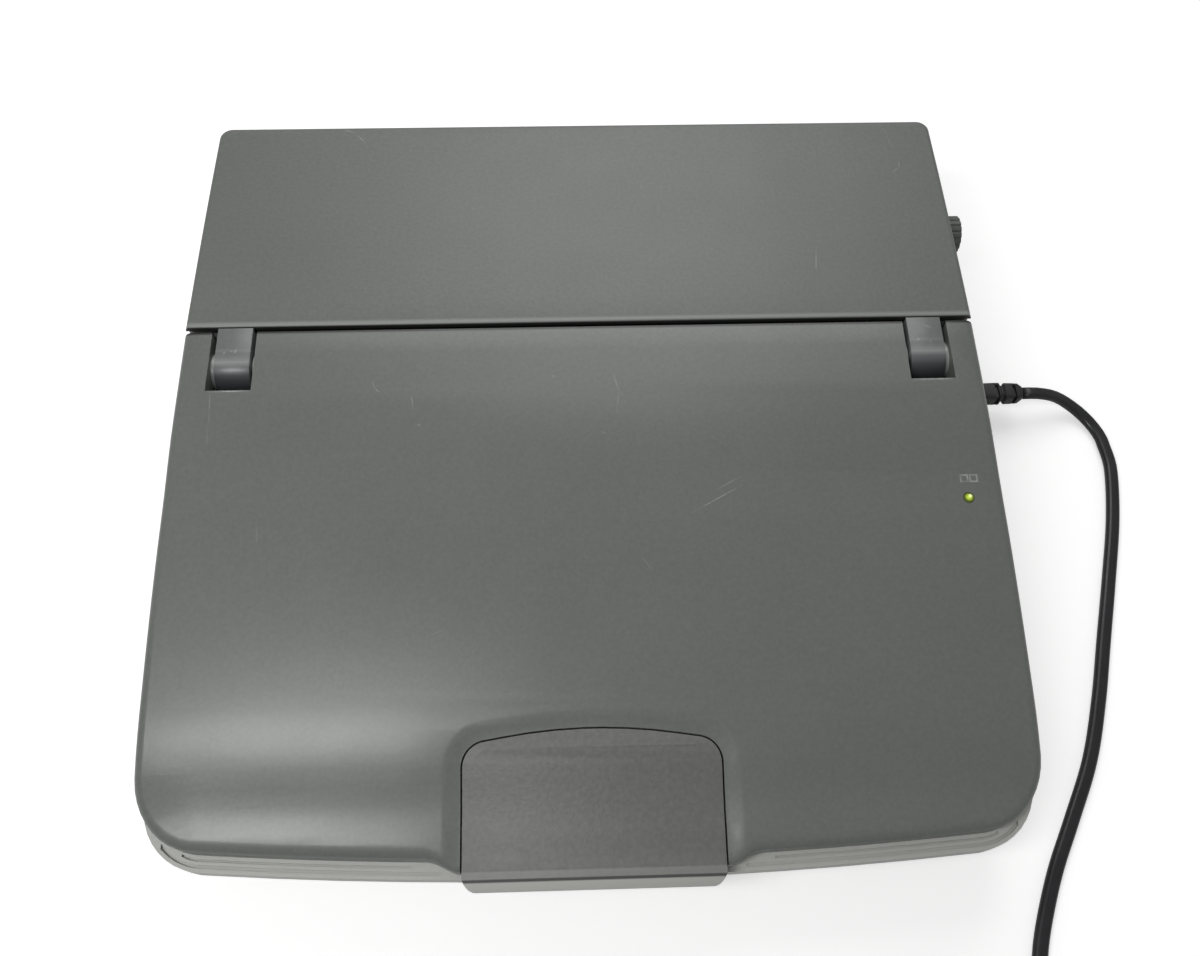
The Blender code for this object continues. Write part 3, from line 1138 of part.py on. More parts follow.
def belt_outline(radius):
    """A loop with two straight runs round the pulleys."""
    right = arc((BELT_HALF_SPAN, BELT_BACK), radius, -pi / 2, pi / 2, 8)
    left = arc((-BELT_HALF_SPAN, BELT_BACK), radius, pi / 2, 3 * pi / 2, 8)
    return right + left


BELT_Z = (BELT_HEIGHT, BELT_HEIGHT + BELT_WIDTH)


def make_carriage_drive():
    """Rod, belt, motor with its pulley and the idler post."""
    rod_end = CHEEK_OUT - GAP
    paint(drum("carriage_rod", "X", ROD_AXIS, ROD_RADIUS, -rod_end, rod_end, 16), STEEL, 0.2, 1.0)
    paint(drum("paper_bail", "X", BAIL_AXIS, BAIL_RADIUS, -rod_end, rod_end, 12), STEEL, 0.2, 1.0)
    outer = [(x, y, z) for z in BELT_Z for x, y in belt_outline(PULLEY_RADIUS + BELT_THICK)]
    inner = [(x, y, z) for z in BELT_Z for x, y in belt_outline(PULLEY_RADIUS)]
    count = len(outer) // 2
    rings = [outer[:count], outer[count:], inner[count:], inner[:count]]
    paint(skin("carriage_belt", rings, looped=True), BLACK, 0.8)
    floor = CHASSIS_FLOOR + CHASSIS_THICK + GAP
    pulley = PULLEY_RADIUS - GAP
    body = floor + CARRIAGE_MOTOR_LENGTH
    profile = ((floor, CARRIAGE_MOTOR_RADIUS), (body, CARRIAGE_MOTOR_RADIUS), (body, pulley),
               (BELT_Z[1], pulley))
    paint(turned("carriage_motor", "Z", (-BELT_HALF_SPAN, BELT_BACK), profile, 16), STEEL, 0.4, 1.0)
    post = ((floor, pulley), (BELT_Z[1], pulley))
    paint(turned("belt_pulley", "Z", (BELT_HALF_SPAN, BELT_BACK), post, 16), (0.75, 0.75, 0.72, 1), 0.5)


def make_boards():
    """Main board and power supply board with their larger packages, on the tray's posts."""
    low = TRAY_FLOOR + BOARD_RISE
    top = low + BOARD_THICK
    main = block("main_circuit_board", MAIN_X, MAIN_Y, (low, top))
    width = MAIN_X[1] - MAIN_X[0]
    depth = MAIN_Y[1] - MAIN_Y[0]
    for across_share, along_share, size_share in PACKAGE_SHARES:
        x = MAIN_X[0] + across_share * width
        y = MAIN_Y[0] + along_share * depth
        half = size_share * depth / 2
        unite(main, block("package", (x - half, x + half), (y - half, y + half),
                          (low + GAP, top + PACKAGE_HEIGHT)))
    paint(main, BOARD_GREEN, 0.5)
    supply = block("power_supply_board", SUPPLY_X, SUPPLY_Y, (low, top))
    width = SUPPLY_X[1] - SUPPLY_X[0]
    for start_share, end_share, height_share in SUPPLY_SHARES:
        x = (SUPPLY_X[0] + start_share * width, SUPPLY_X[0] + end_share * width)
        unite(supply, block("part", x, widened(SUPPLY_Y, -2 * POST_RADIUS),
                            (low + GAP, top + height_share * CHOKE_HEIGHT)))
    paint(supply, (0.35, 0.22, 0.08, 1), 0.6)


def make_drive():
    """Floppy disk drive with its slot open on the right, and the eject button under it."""
    z = (DRIVE_BOTTOM, DRIVE_BOTTOM + DRIVE_HEIGHT)
    drive = block("floppy_drive", (DRIVE_LEFT, DRIVE_RIGHT), DRIVE_Y, z)
    disk = block("disk", (DRIVE_RIGHT - DISK_DEPTH, HALF), SLOT_Y, SLOT_Z)
    pocket_x = (DRIVE_RIGHT - EJECT_LENGTH, HALF)
    pocket = block("pocket", pocket_x, widened(EJECT_Y, RUN), widened(EJECT_Z, RUN))
    carve(drive, disk, pocket)
    paint(drive, STEEL, 0.4, 1.0)
    end = HALF - TRAY_SIDE_TAPER + EJECT_TRAVEL + SEAM
    button = block("eject_button", (DRIVE_RIGHT - EJECT_LENGTH + EJECT_TRAVEL + RUN, end), EJECT_Y, EJECT_Z)
    paint(button, (0.25, 0.26, 0.25, 1), 0.5)


def make_deck_controls():
    """Sliding power switch and the contrast dial, both sunk in the deck behind the keys."""
    y = -DECK_CONTROL_Y
    deck = parting(y) - SEAM / 2
    x = SWITCH_X - SWITCH_TRAVEL / 2
    profile_x = (x - SWITCH_LENGTH / 2, x + SWITCH_LENGTH / 2)
    half = SWITCH_WIDTH / 2
    switch = block("power_switch", profile_x, (y - half, y + half),
                   (deck - SWITCH_THICK, deck + SWITCH_THICK / 4))
    paint(switch, (0.5, 0.5, 0.47, 1), 0.5)
    centre = (y, deck - DIAL_RADIUS + DIAL_PROUD)
    dial = drum("contrast_dial", "X", centre, DIAL_RADIUS, DIAL_X - DIAL_WIDTH / 2,
                DIAL_X + DIAL_WIDTH / 2, 24)
    paint(pivot(dial, (DIAL_X, *centre)), (0.3, 0.3, 0.29, 1), 0.5)


FIELD_LEFT = -FIELD_HALF
FIXED_KEYS = (("key_row_1", 0, 0.0, (1,) * 15), ("key_row_2", 1, 0.0, (1.5,) + (1,) * 12 + (1.5,)),
              ("key_row_3", 2, 0.0, (1.75,) + (1,) * 11), ("key_row_4", 3, 2.25, (1,) * 10),
              ("bottom_left_keys", 4, 0.0, (1.25,) * 3), ("bottom_right_keys", 4, 11.25, (1.25,) * 3))
MOVING_KEYS = (("enter_key", 2, 12.75, 2.25), ("left_shift_key", 3, 0.0, 2.25),
               ("right_shift_key", 3, 12.25, 2.75), ("space_bar", 4, 3.75, 7.5))
KEY_TOP = KEY_PROUD
KEY_BOTTOM = KEY_PROUD - KEY_HEIGHT
PLATE_TOP = -KEY_PLATE_DROP


def key_cap(name, row, start, units, bottom):
    """A tapered cap at level, lifted to the sloping deck afterwards."""
    back = -KEY_WELL_BACK - row * KEY_PITCH
    left = FIELD_LEFT + start * KEY_PITCH
    y = widened((back - KEY_PITCH, back), -KEY_GAP / 2)
    x = widened((left, left + units * KEY_PITCH), -KEY_GAP / 2)

    def ring(inset, z):
        a, b = widened(x, -inset)
        c, d = widened(y, -inset)
        return [(a, c, z), (b, c, z), (b, d, z), (a, d, z)]
    return skin(name, [ring(0.0, bottom), ring(0.0, KEY_BOTTOM), ring(KEY_TAPER, KEY_TOP)])


def make_keyboard():
    for name, row, start, widths in FIXED_KEYS:
        place = start
        caps = []
        for units in widths:
            caps.append(key_cap("cap", row, place, units, PLATE_TOP + GAP))
            place += units
        back = -KEY_WELL_BACK - row * KEY_PITCH
        web_y = widened((back - KEY_PITCH, back), -KEY_GAP)
        web_x = (FIELD_LEFT + start * KEY_PITCH + KEY_GAP, FIELD_LEFT + place * KEY_PITCH - KEY_GAP)
        web = block(name, web_x, web_y, (PLATE_TOP + GAP + GAP / 2, PLATE_TOP + GAP + KEY_WEB))
        unite(web, *caps)
        paint(slant(web), KEY_GREY, 0.55)
    inner = widened(KEY_FIELD_Y, 2 * KEY_GAP)
    outer = widened(inner, KEY_PLATE_RIM)
    inner_x = (-FIELD_HALF - 2 * KEY_GAP, FIELD_HALF + 2 * KEY_GAP)
    outer_x = widened(inner_x, KEY_PLATE_RIM)
    rim = -SEAM / 2 - CASE_WALL - GAP
    plate = block("key_plate", outer_x, outer, (PLATE_TOP - KEY_PLATE_THICK, rim))
    cuts = [block("tray", inner_x, inner, (PLATE_TOP, CASE_HEIGHT))]
    for name, row, start, units in MOVING_KEYS:
        centre = (FIELD_LEFT + (start + units / 2) * KEY_PITCH, -KEY_WELL_BACK - (row + 1 / 2) * KEY_PITCH)
        cuts.append(drum("hole", "Z", centre, KEY_STEM_RADIUS + RUN / 2, -CASE_HEIGHT, CASE_HEIGHT, 12))
        key = key_cap(name, row, start, units, KEY_BOTTOM - GAP)
        stem = drum("stem", "Z", centre, KEY_STEM_RADIUS, PLATE_TOP - KEY_PLATE_THICK - KEY_WEB,
                    KEY_BOTTOM + KEY_WEB, 12)
        paint(slant(unite(key, stem)), KEY_GREY, 0.55)
    paint(slant(carve(plate, *cuts)), STEEL, 0.5, 1.0)


CORD_RADIUS = CORD_DIAMETER / 2
COIL_OUTER = COIL_MEAN_RADIUS + COIL_PITCH * COIL_TURNS / 4
COIL_CENTRE = (LEAD_ROUTE[-1][0] - COIL_OUTER, COIL_START_Y - CORD_DIAMETER)
COIL_LOW = LEAD_ROUTE[-1][2]
PLUG_Z = CORD_LIFT + PLUG_HEIGHT / 2
RELIEF_START = HALF - TRAY_SIDE_TAPER - CASE_WALL - GAP - RELIEF_FLANGE_WIDTH


def through(points, step):
    """Points at even steps along a smooth curve through the route's own points."""
    ends = [2 * Vector(points[0]) - Vector(points[1])], [2 * Vector(points[-1]) - Vector(points[-2])]
    knots = ends[0] + [Vector(point) for point in points] + ends[1]
    fine = []
    for a, b, c, d in zip(knots, knots[1:], knots[2:], knots[3:]):
        for i in range(16):
            t = i / 16
            fine.append(0.5 * (2 * b + (c - a) * t + (2 * a - 5 * b + 4 * c - d) * t ** 2
                               + (3 * b - a - 3 * c + d) * t ** 3))
    fine.append(Vector(points[-1]))
    along = [0.0]
    for first, second in zip(fine, fine[1:]):
        along.append(along[-1] + (second - first).length)
    count = round(along[-1] / step)
    places = [along[-1] * i / count for i in range(count + 1)]
    columns = [np.interp(places, along, [point[axis] for point in fine]) for axis in range(3)]
    return [tuple(float(value) for value in point) for point in zip(*columns)]


def coil_point(turn):
    """Place on the coil after so many turns: in along the table, up a layer, and out again."""
    middle = COIL_TURNS / 2
    radius = COIL_OUTER - COIL_PITCH * (middle - abs(turn - middle))
    angle = -2 * pi * turn
    z = COIL_LOW + COIL_LAYER * ease((turn - middle + 1 / 4) * 2)
    return (COIL_CENTRE[0] + radius * cos(angle), COIL_CENTRE[1] + radius * sin(angle), z)


def coil_path():
    """Centre line of the coil with its straight ends and the tail down to the plug."""
    steps = round(COIL_TURNS * COIL_POINTS)
    start = (LEAD_ROUTE[-1][0], COIL_START_Y, COIL_LOW)
    turns = [coil_point(COIL_TURNS * i / steps) for i in range(steps + 1)]
    x, y, z = turns[-1]
    tail = []
    for i in range(1, 7):
        share = i / 6
        fall = ease((share - TAIL_SHARES[0]) / (TAIL_SHARES[1] - TAIL_SHARES[0]))
        tail.append((x - TAIL_LENGTH * share, y, z + (PLUG_Z - z) * fall))
    return [start] + turns + tail


def least_gap(path):
    """Smallest space between stretches of a cord that lie apart along it."""
    fine = []
    for first, second in zip(path, path[1:]):
        for i in range(4):
            fine.append([a + (b - a) * i / 4 for a, b in zip(first, second)])
    points = np.array(fine)
    along = np.concatenate([[0.0], np.cumsum(np.linalg.norm(np.diff(points, axis=0), axis=1))])
    apart = np.abs(along[:, None] - along[None, :]) > CORD_STAND * CORD_DIAMETER
    distance = np.linalg.norm(points[:, None] - points[None, :], axis=2)
    return float(distance[apart].min()) - CORD_DIAMETER


def tube(name, path, resolution):
    """A cord of round section along a path, with filled ends."""
    curve = bpy.data.curves.new(name, "CURVE")
    curve.dimensions = "3D"
    curve.bevel_depth = CORD_RADIUS
    curve.bevel_resolution = resolution
    curve.use_fill_caps = True
    spline = curve.splines.new("POLY")
    spline.points.add(len(path) - 1)
    for point, place in zip(spline.points, path):
        point.co = (*place, 1.0)
    return paint(finish(name, curve), BLACK, 0.4)


def make_cord():
    """Strain relief, free lead, coil of spare length and the plug."""
    outside = HALF + RELIEF_PLAIN
    collar = RELIEF_COLLAR / 2
    inner = RELIEF_START + RELIEF_FLANGE_WIDTH
    profile = [(RELIEF_START, collar + RELIEF_FLANGE), (inner, collar + RELIEF_FLANGE), (inner, collar),
               (outside, collar)]
    step = (CORD_EXIT_X - outside) / (2 * RELIEF_RIBS)
    for i in range(RELIEF_RIBS):
        radius = collar + (RELIEF_TIP / 2 - collar) * (i + 1) / RELIEF_RIBS
        low = outside + 2 * i * step
        neck = radius - RELIEF_GROOVE
        profile += [(low, neck), (low + step, neck), (low + step, radius),
                    (low + 2 * step, radius)]
    centre = (CORD_EXIT_Y, CORD_EXIT_HEIGHT)
    paint(turned("strain_relief", "X", centre, profile, 16), BLACK, 0.5)
    start = (CORD_EXIT_X + GAP, CORD_EXIT_Y, CORD_EXIT_HEIGHT)
    straight = (start[0] + CORD_DIAMETER, *start[1:])
    end = (LEAD_ROUTE[-1][0], COIL_START_Y + GAP, COIL_LOW)
    route = through([straight, *LEAD_ROUTE, end], LEAD_STEP)
    tube("cord_lead", [start] + route, 2)
    path = coil_path()
    print("least gap of the coil to itself", round(least_gap(path) * 1000, 3), "mm")
    tube("cord_coil", path, 1)
    make_plug(path[-1])


def make_plug(entry):
    """Moulded two-blade plug lying beside the coil, its blades pointing left."""
    x, y, z = entry
    x -= GAP
    neck = PLUG_NECK / 2
    rings = []
    for along_share, width_share, height_share in PLUG_SHARES:
        half_width = neck + (PLUG_WIDTH / 2 - neck) * width_share
        half_height = neck + (PLUG_HEIGHT / 2 - neck) * height_share
        ring = []
        for i in range(20):
            angle = 2 * pi * i / 20
            a, b = (copysign(abs(value) ** PLUG_ROUND_SHARE, value) for value in (cos(angle), sin(angle)))
            ring.append((x - PLUG_LENGTH * along_share, y + half_width * a, z + half_height * b))
        rings.append(ring)
    paint(skin("plug_body", rings), BLACK, 0.5)
    face = x - PLUG_LENGTH - GAP
    for name, side in (("plug_blade_front", -1), ("plug_blade_rear", 1)):
        middle = y + side * BLADE_SPACING / 2
        blade = block(name, (face - BLADE_LENGTH, face), widened((middle, middle), BLADE_THICK / 2),
                      widened((z, z), BLADE_WIDTH / 2))
        paint(blade, (0.8, 0.72, 0.45, 1), 0.3, 1.0)


make_bottom_case()
make_feet_and_screws()
make_upper_case()
for arm_name, arm_x in zip(("left_hinge_arm", "right_hinge_arm"), ARM_X):
    make_hinge_arm(arm_name, arm_x)
make_lid()
make_lid_pins()
make_display()
make_latch()
make_cover()
make_chassis()
make_platen()
make_carriage()
make_carriage_drive()
make_boards()
make_drive()
make_deck_controls()
make_keyboard()
make_cord()
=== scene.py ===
import math

import bmesh
import bpy
import numpy as np
from mathutils import Matrix, Vector


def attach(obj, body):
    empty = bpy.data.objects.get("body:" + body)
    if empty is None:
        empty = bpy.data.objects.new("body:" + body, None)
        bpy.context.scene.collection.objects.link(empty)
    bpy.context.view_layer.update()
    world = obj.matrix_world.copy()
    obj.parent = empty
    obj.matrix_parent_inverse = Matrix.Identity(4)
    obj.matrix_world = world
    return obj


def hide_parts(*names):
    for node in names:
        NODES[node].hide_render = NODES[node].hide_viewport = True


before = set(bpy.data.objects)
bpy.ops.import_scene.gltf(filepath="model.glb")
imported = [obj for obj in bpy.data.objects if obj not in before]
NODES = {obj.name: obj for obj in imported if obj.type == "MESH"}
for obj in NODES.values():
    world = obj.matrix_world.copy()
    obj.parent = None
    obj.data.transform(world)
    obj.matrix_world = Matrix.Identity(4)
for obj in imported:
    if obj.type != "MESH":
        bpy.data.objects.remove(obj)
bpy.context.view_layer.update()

# The machine's own frame: x 0 at its middle, y 0 at the gap between the cover and the lid, z 0 on the table.
SHIFT = Vector((-0.00675, 0.05905, 0.0))


# ---------------------------------------------------------------- camera, floor and lights

PITCH = math.radians(63.15)
YAW = math.radians(-3.12)
ROLL = math.radians(1.65)
CAMERA_PLACE = (-0.01185, -0.22815, 0.4939)
LENS = 31.5
SENSOR = 36.0
NEAREST = 0.01

FLOOR_REACH = 6.0
FLOOR_DROP = 0.0002
FLOOR_TONE = 0.86
FLOOR_GLOW = 0.42       # seen by the camera alone, so that the floor stays white round the shadow
SKY_LEVEL = 0.30        # on the object; the camera sees full white

# Each softbox has its place, the point that it faces, its two widths and its power in watts.
SOFTBOXES = {
    "key": ((-0.44, -0.31, 0.92), (-0.44, -0.10, 0.05), (0.60, 0.18), 4.1),
    "fill": ((0.10, 1.20, 1.35), (0.0, 0.0, 0.05), (1.3, 1.3), 11.5),
}


def make_camera():
    """The photograph's viewpoint: above the front edge, looking steeply down."""
    turn = Matrix.Rotation(YAW, 3, "Z")
    ahead = turn @ Vector((0.0, math.cos(PITCH), -math.sin(PITCH)))
    up = turn @ Vector((0.0, math.sin(PITCH), math.cos(PITCH)))
    right = turn @ Vector((1.0, 0.0, 0.0))
    across = right * math.cos(ROLL) + up * math.sin(ROLL)
    above = up * math.cos(ROLL) - right * math.sin(ROLL)
    data = bpy.data.cameras.new("camera")
    data.lens = LENS
    data.sensor_fit = "HORIZONTAL"
    data.sensor_width = SENSOR
    data.clip_start = NEAREST
    camera = bpy.data.objects.new("camera", data)
    camera.matrix_world = Matrix.Translation(CAMERA_PLACE) @ Matrix((across, above, -ahead)).transposed().to_4x4()
    bpy.context.scene.collection.objects.link(camera)
    bpy.context.scene.camera = camera


def make_floor():
    """A pale floor that stays white round the object and keeps its shadow."""
    mesh = bpy.data.meshes.new("floor")
    corners = [(x * FLOOR_REACH, y * FLOOR_REACH, 0) for x, y in ((-1, -1), (1, -1), (1, 1), (-1, 1))]
    mesh.from_pydata(corners, [], [(0, 1, 2, 3)])
    floor = bpy.data.objects.new("floor", mesh)
    floor.location.z = -FLOOR_DROP
    bpy.context.scene.collection.objects.link(floor)
    material = bpy.data.materials.new("floor")
    material.use_nodes = True
    nodes, links = material.node_tree.nodes, material.node_tree.links
    nodes.clear()
    output = nodes.new("ShaderNodeOutputMaterial")
    matt = nodes.new("ShaderNodeBsdfDiffuse")
    matt.inputs["Color"].default_value = (FLOOR_TONE, FLOOR_TONE, FLOOR_TONE, 1)
    glow = nodes.new("ShaderNodeEmission")
    path = nodes.new("ShaderNodeLightPath")
    strength = nodes.new("ShaderNodeMath")
    strength.operation = "MULTIPLY"
    strength.inputs[1].default_value = FLOOR_GLOW
    total = nodes.new("ShaderNodeAddShader")
    links.new(path.outputs["Is Camera Ray"], strength.inputs[0])
    links.new(strength.outputs[0], glow.inputs["Strength"])
    links.new(matt.outputs[0], total.inputs[0])
    links.new(glow.outputs[0], total.inputs[1])
    links.new(total.outputs[0], output.inputs["Surface"])
    mesh.materials.append(material)


def softbox(name, place, target, widths, watts):
    """An oval area light that faces a point."""
    data = bpy.data.lights.new(name, "AREA")
    data.shape = "ELLIPSE"
    data.size, data.size_y = widths
    data.energy = watts
    lamp = bpy.data.objects.new(name, data)
    lamp.location = place
    lamp.rotation_euler = (Vector(target) - Vector(place)).to_track_quat("-Z", "Y").to_euler()
    bpy.context.scene.collection.objects.link(lamp)


def make_light():
    """Even light from all round, and the softboxes."""
    world = bpy.data.worlds.new("studio")
    world.use_nodes = True
    bpy.context.scene.world = world
    nodes, links = world.node_tree.nodes, world.node_tree.links
    sky = nodes["Background"]
    sky.inputs["Color"].default_value = (1, 1, 1, 1)
    path = nodes.new("ShaderNodeLightPath")
    level = nodes.new("ShaderNodeMapRange")
    level.inputs["To Min"].default_value = SKY_LEVEL
    level.inputs["To Max"].default_value = 1.0
    links.new(path.outputs["Is Camera Ray"], level.inputs["Value"])
    links.new(level.outputs["Result"], sky.inputs["Strength"])
    for name, values in SOFTBOXES.items():
        softbox(name, *values)
    bpy.context.scene.view_settings.view_transform = "Standard"


make_camera()
make_floor()
make_light()


# ---------------------------------------------------------------- meshes

MILLI = 0.001


def node_box(name):
    """Low and high corner of a node."""
    node = NODES[name]
    points = [node.matrix_world @ vertex.co for vertex in node.data.vertices]
    return (Vector(map(min, zip(*points))), Vector(map(max, zip(*points))))


def round_angles(count):
    """Even angles once round, from zero."""
    return [2 * math.pi * i / count for i in range(count)]


def loft(name, rings, body="base"):
    """Smooth skin over rings of the same number of points, its ends filled, riding on a body."""
    shape = bmesh.new()
    rows = [[shape.verts.new(point) for point in ring] for ring in rings]
    count = len(rows[0])
    for low, high in zip(rows, rows[1:]):
        for i in range(count):
            j = (i + 1) % count
            shape.faces.new((low[i], low[j], high[j], high[i]))
    shape.faces.new(rows[0][::-1])
    shape.faces.new(rows[-1])
    bmesh.ops.recalc_face_normals(shape, faces=shape.faces[:])
    mesh = bpy.data.meshes.new(name)
    shape.to_mesh(mesh)
    shape.free()
    thing = bpy.data.objects.new(name, mesh)
    bpy.context.scene.collection.objects.link(thing)
    mesh.polygons.foreach_set("use_smooth", [True] * len(mesh.polygons))
    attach(thing, body)
    return thing


def split_edges(thing, degrees):
    """Keeps the edges sharp that turn by more than an angle."""
    split = thing.modifiers.new("split", "EDGE_SPLIT")
    split.split_angle = math.radians(degrees)


# ---------------------------------------------------------------- mains cord

CORD_WIDTH = 0.0066
CORD_DEEP = 0.0050
CORD_EXIT = (0.2360, 0.0010, 0.0145)
CORD_GAP = 0.0003
LEAD_ROUTE = ((0.2480, 0.0010, 0.0139), (0.2530, 0.0010, 0.0122), (0.2591, 0.0002, 0.0093),
              (0.2663, -0.0029, 0.0059), (0.2717, -0.0072, 0.0039), (0.2758, -0.0129, 0.0036),
              (0.2783, -0.0194, 0.0036), (0.2791, -0.0255, 0.0036), (0.2793, -0.0404, 0.0036),
              (0.2730, -0.0693, 0.0036), (0.2627, -0.1022, 0.0036), (0.2524, -0.1334, 0.0036),
              (0.2427, -0.1628, 0.0036), (0.2316, -0.1908, 0.0036), (0.2169, -0.2172, 0.0036),
              (0.2048, -0.2382, 0.0036), (0.1954, -0.2584, 0.0036), (0.1903, -0.2725, 0.0036),
              (0.1880, -0.2850, 0.0036), (0.1872, -0.2970, 0.0036), (0.1870, -0.3090, 0.0036))
COIL_TURNS = 6.25
COIL_PITCH = 0.0071
COIL_MIDDLE = 0.036
COIL_PARTS = 40         # stretches in one turn
COIL_RISE = 0.5         # share of a turn in which the upper layer is reached
COIL_OUTER = COIL_MIDDLE + COIL_PITCH * COIL_TURNS / 4
COIL_START_Y = -0.3230
COIL_CENTRE = (LEAD_ROUTE[-1][0] - COIL_OUTER, COIL_START_Y - CORD_WIDTH)
TABLE_LINE = 0.0036     # centre height of the lying lead in LEAD_ROUTE
LYING = CORD_DEEP / 2 + 0.0001
LAYER = CORD_DEEP + 0.0004
EXIT_SINK = 0.4         # share of the difference taken off the heights above the table line
CORD_STEP = 0.004
SPLINE_PARTS = 12
TAIL = 0.036
TAIL_PARTS = 9
TAIL_START = 0.30       # shares of the tail at which it starts to change height, and over which it does
TAIL_FALL = 0.55
PLUG_LINE = 0.0078
CORD_SIDES = 20
VALLEY_DEEP = 0.16
VALLEY_WIDE = 0.30
SHEATH_POWER = 0.85     # below 1 the sheath is fuller than an oval


def ease(share):
    """Smooth step from 0 to 1."""
    share = min(max(share, 0.0), 1.0)
    return share * share * (3 - 2 * share)


def spline(points, step):
    """Even points along a smooth curve through the given ones."""
    knots = [2 * Vector(points[0]) - Vector(points[1]), *map(Vector, points),
             2 * Vector(points[-1]) - Vector(points[-2])]
    fine = []
    for a, b, c, d in zip(knots, knots[1:], knots[2:], knots[3:]):
        for i in range(SPLINE_PARTS):
            t = i / SPLINE_PARTS
            fine.append(0.5 * (2 * b + (c - a) * t + (2 * a - 5 * b + 4 * c - d) * t ** 2
                               + (3 * b - a - 3 * c + d) * t ** 3))
    fine.append(Vector(points[-1]))
    along = [0.0]
    for first, second in zip(fine, fine[1:]):
        along.append(along[-1] + (second - first).length)
    count = max(2, round(along[-1] / step))
    places = np.linspace(0.0, along[-1], count + 1)
    columns = [np.interp(places, along, [point[axis] for point in fine]) for axis in range(3)]
    return [Vector(point) for point in zip(*columns)]


def cord_line():
    """Centre line from the strain relief, over the table, round the coil and down to the plug."""
    points = [Vector(CORD_EXIT) + Vector((CORD_GAP, 0, 0)),
              Vector(CORD_EXIT) + Vector((CORD_GAP + CORD_WIDTH, 0, 0))]
    for x, y, z in LEAD_ROUTE:
        points.append(Vector((x, y, LYING if z <= TABLE_LINE else z - EXIT_SINK * (TABLE_LINE - LYING))))
    line = spline(points, CORD_STEP)
    start = Vector((LEAD_ROUTE[-1][0], COIL_START_Y, LYING))
    line += spline([line[-1], (line[-1] + start) / 2, start], CORD_STEP)[1:]
    steps = round(COIL_TURNS * COIL_PARTS)
    middle = COIL_TURNS / 2
    for i in range(steps + 1):
        turn = COIL_TURNS * i / steps
        radius = COIL_OUTER - COIL_PITCH * (middle - abs(turn - middle))
        angle = -2 * math.pi * turn
        height = LYING + LAYER * ease((turn - middle) / COIL_RISE + 0.5)
        line.append(Vector((COIL_CENTRE[0] + radius * math.cos(angle),
                            COIL_CENTRE[1] + radius * math.sin(angle), height)))
    last = line[-1].copy()
    for i in range(1, TAIL_PARTS + 1):
        share = i / TAIL_PARTS
        fall = ease((share - TAIL_START) / TAIL_FALL)
        line.append(last + Vector((-TAIL * share, 0, (PLUG_LINE - last.z) * fall)))
    return [point + SHIFT for point in line]


def cord_section():
    """Flat twin lead: two round cores side by side under one sheath, a shallow valley between them."""
    ring = []
    for angle in round_angles(CORD_SIDES):
        across = math.cos(angle)
        high = math.sin(angle)
        valley = VALLEY_DEEP * math.exp(-(across / VALLEY_WIDE) ** 2)
        rise = math.copysign(abs(high) ** SHEATH_POWER, high) * (1 - valley)
        ring.append((CORD_WIDTH / 2 * across, CORD_DEEP / 2 * rise))
    return ring


def make_cord():
    """The whole lead in one piece, in place of the lead and coil solids."""
    line = cord_line()
    section = cord_section()
    rings = []
    for i, place in enumerate(line):
        ahead = (line[min(i + 1, len(line) - 1)] - line[max(i - 1, 0)]).normalized()
        side = ahead.cross(Vector((0, 0, 1))).normalized()
        above = side.cross(ahead).normalized()
        rings.append([place + side * a + above * b for a, b in section])
    lead = loft("mains_lead", rings)
    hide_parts("cord_lead", "cord_coil")
    return lead


RELIEF_SIDES = 32
RELIEF_FLANGE = 0.0022
# Each ring of the boot: x in metres, half width and half height in millimetres, and how square it is. The neck's
# x is counted from the inner face of the flange.
RELIEF_NECK = (0.0023, 5.0, 5.0, 2.0)
RELIEF_SHAPE = ((0.1925, 5.0, 5.0, 2.0), (0.1960, 5.2, 4.6, 2.6), (0.2195, 5.3, 4.3, 4.5),
                (0.2202, 5.3, 4.3, 4.5), (0.2204, 5.3, 4.3, 4.5), (0.2220, 5.3, 4.3, 4.5),
                (0.2222, 5.3, 4.3, 4.5), (0.2229, 5.3, 4.3, 4.5), (0.2238, 3.8, 3.4, 4.0),
                (0.2248, 3.8, 3.4, 4.0), (0.2257, 5.1, 4.2, 4.5), (0.2296, 5.0, 4.1, 4.5),
                (0.2298, 5.0, 4.1, 4.5), (0.2313, 4.9, 4.0, 4.5), (0.2315, 4.9, 4.0, 4.5),
                (0.2330, 4.8, 3.9, 4.5), (0.2352, 3.5, 3.0, 3.5))
RELIEF_SLOTS = (4, 5, 12, 13)
SLOT_DEEP = 1.5
SLOT_TO = 0.35          # the slot covers the boot's front and top, up to these shares of its section
SLOT_FROM = -0.6
RELIEF_EDGE = 34


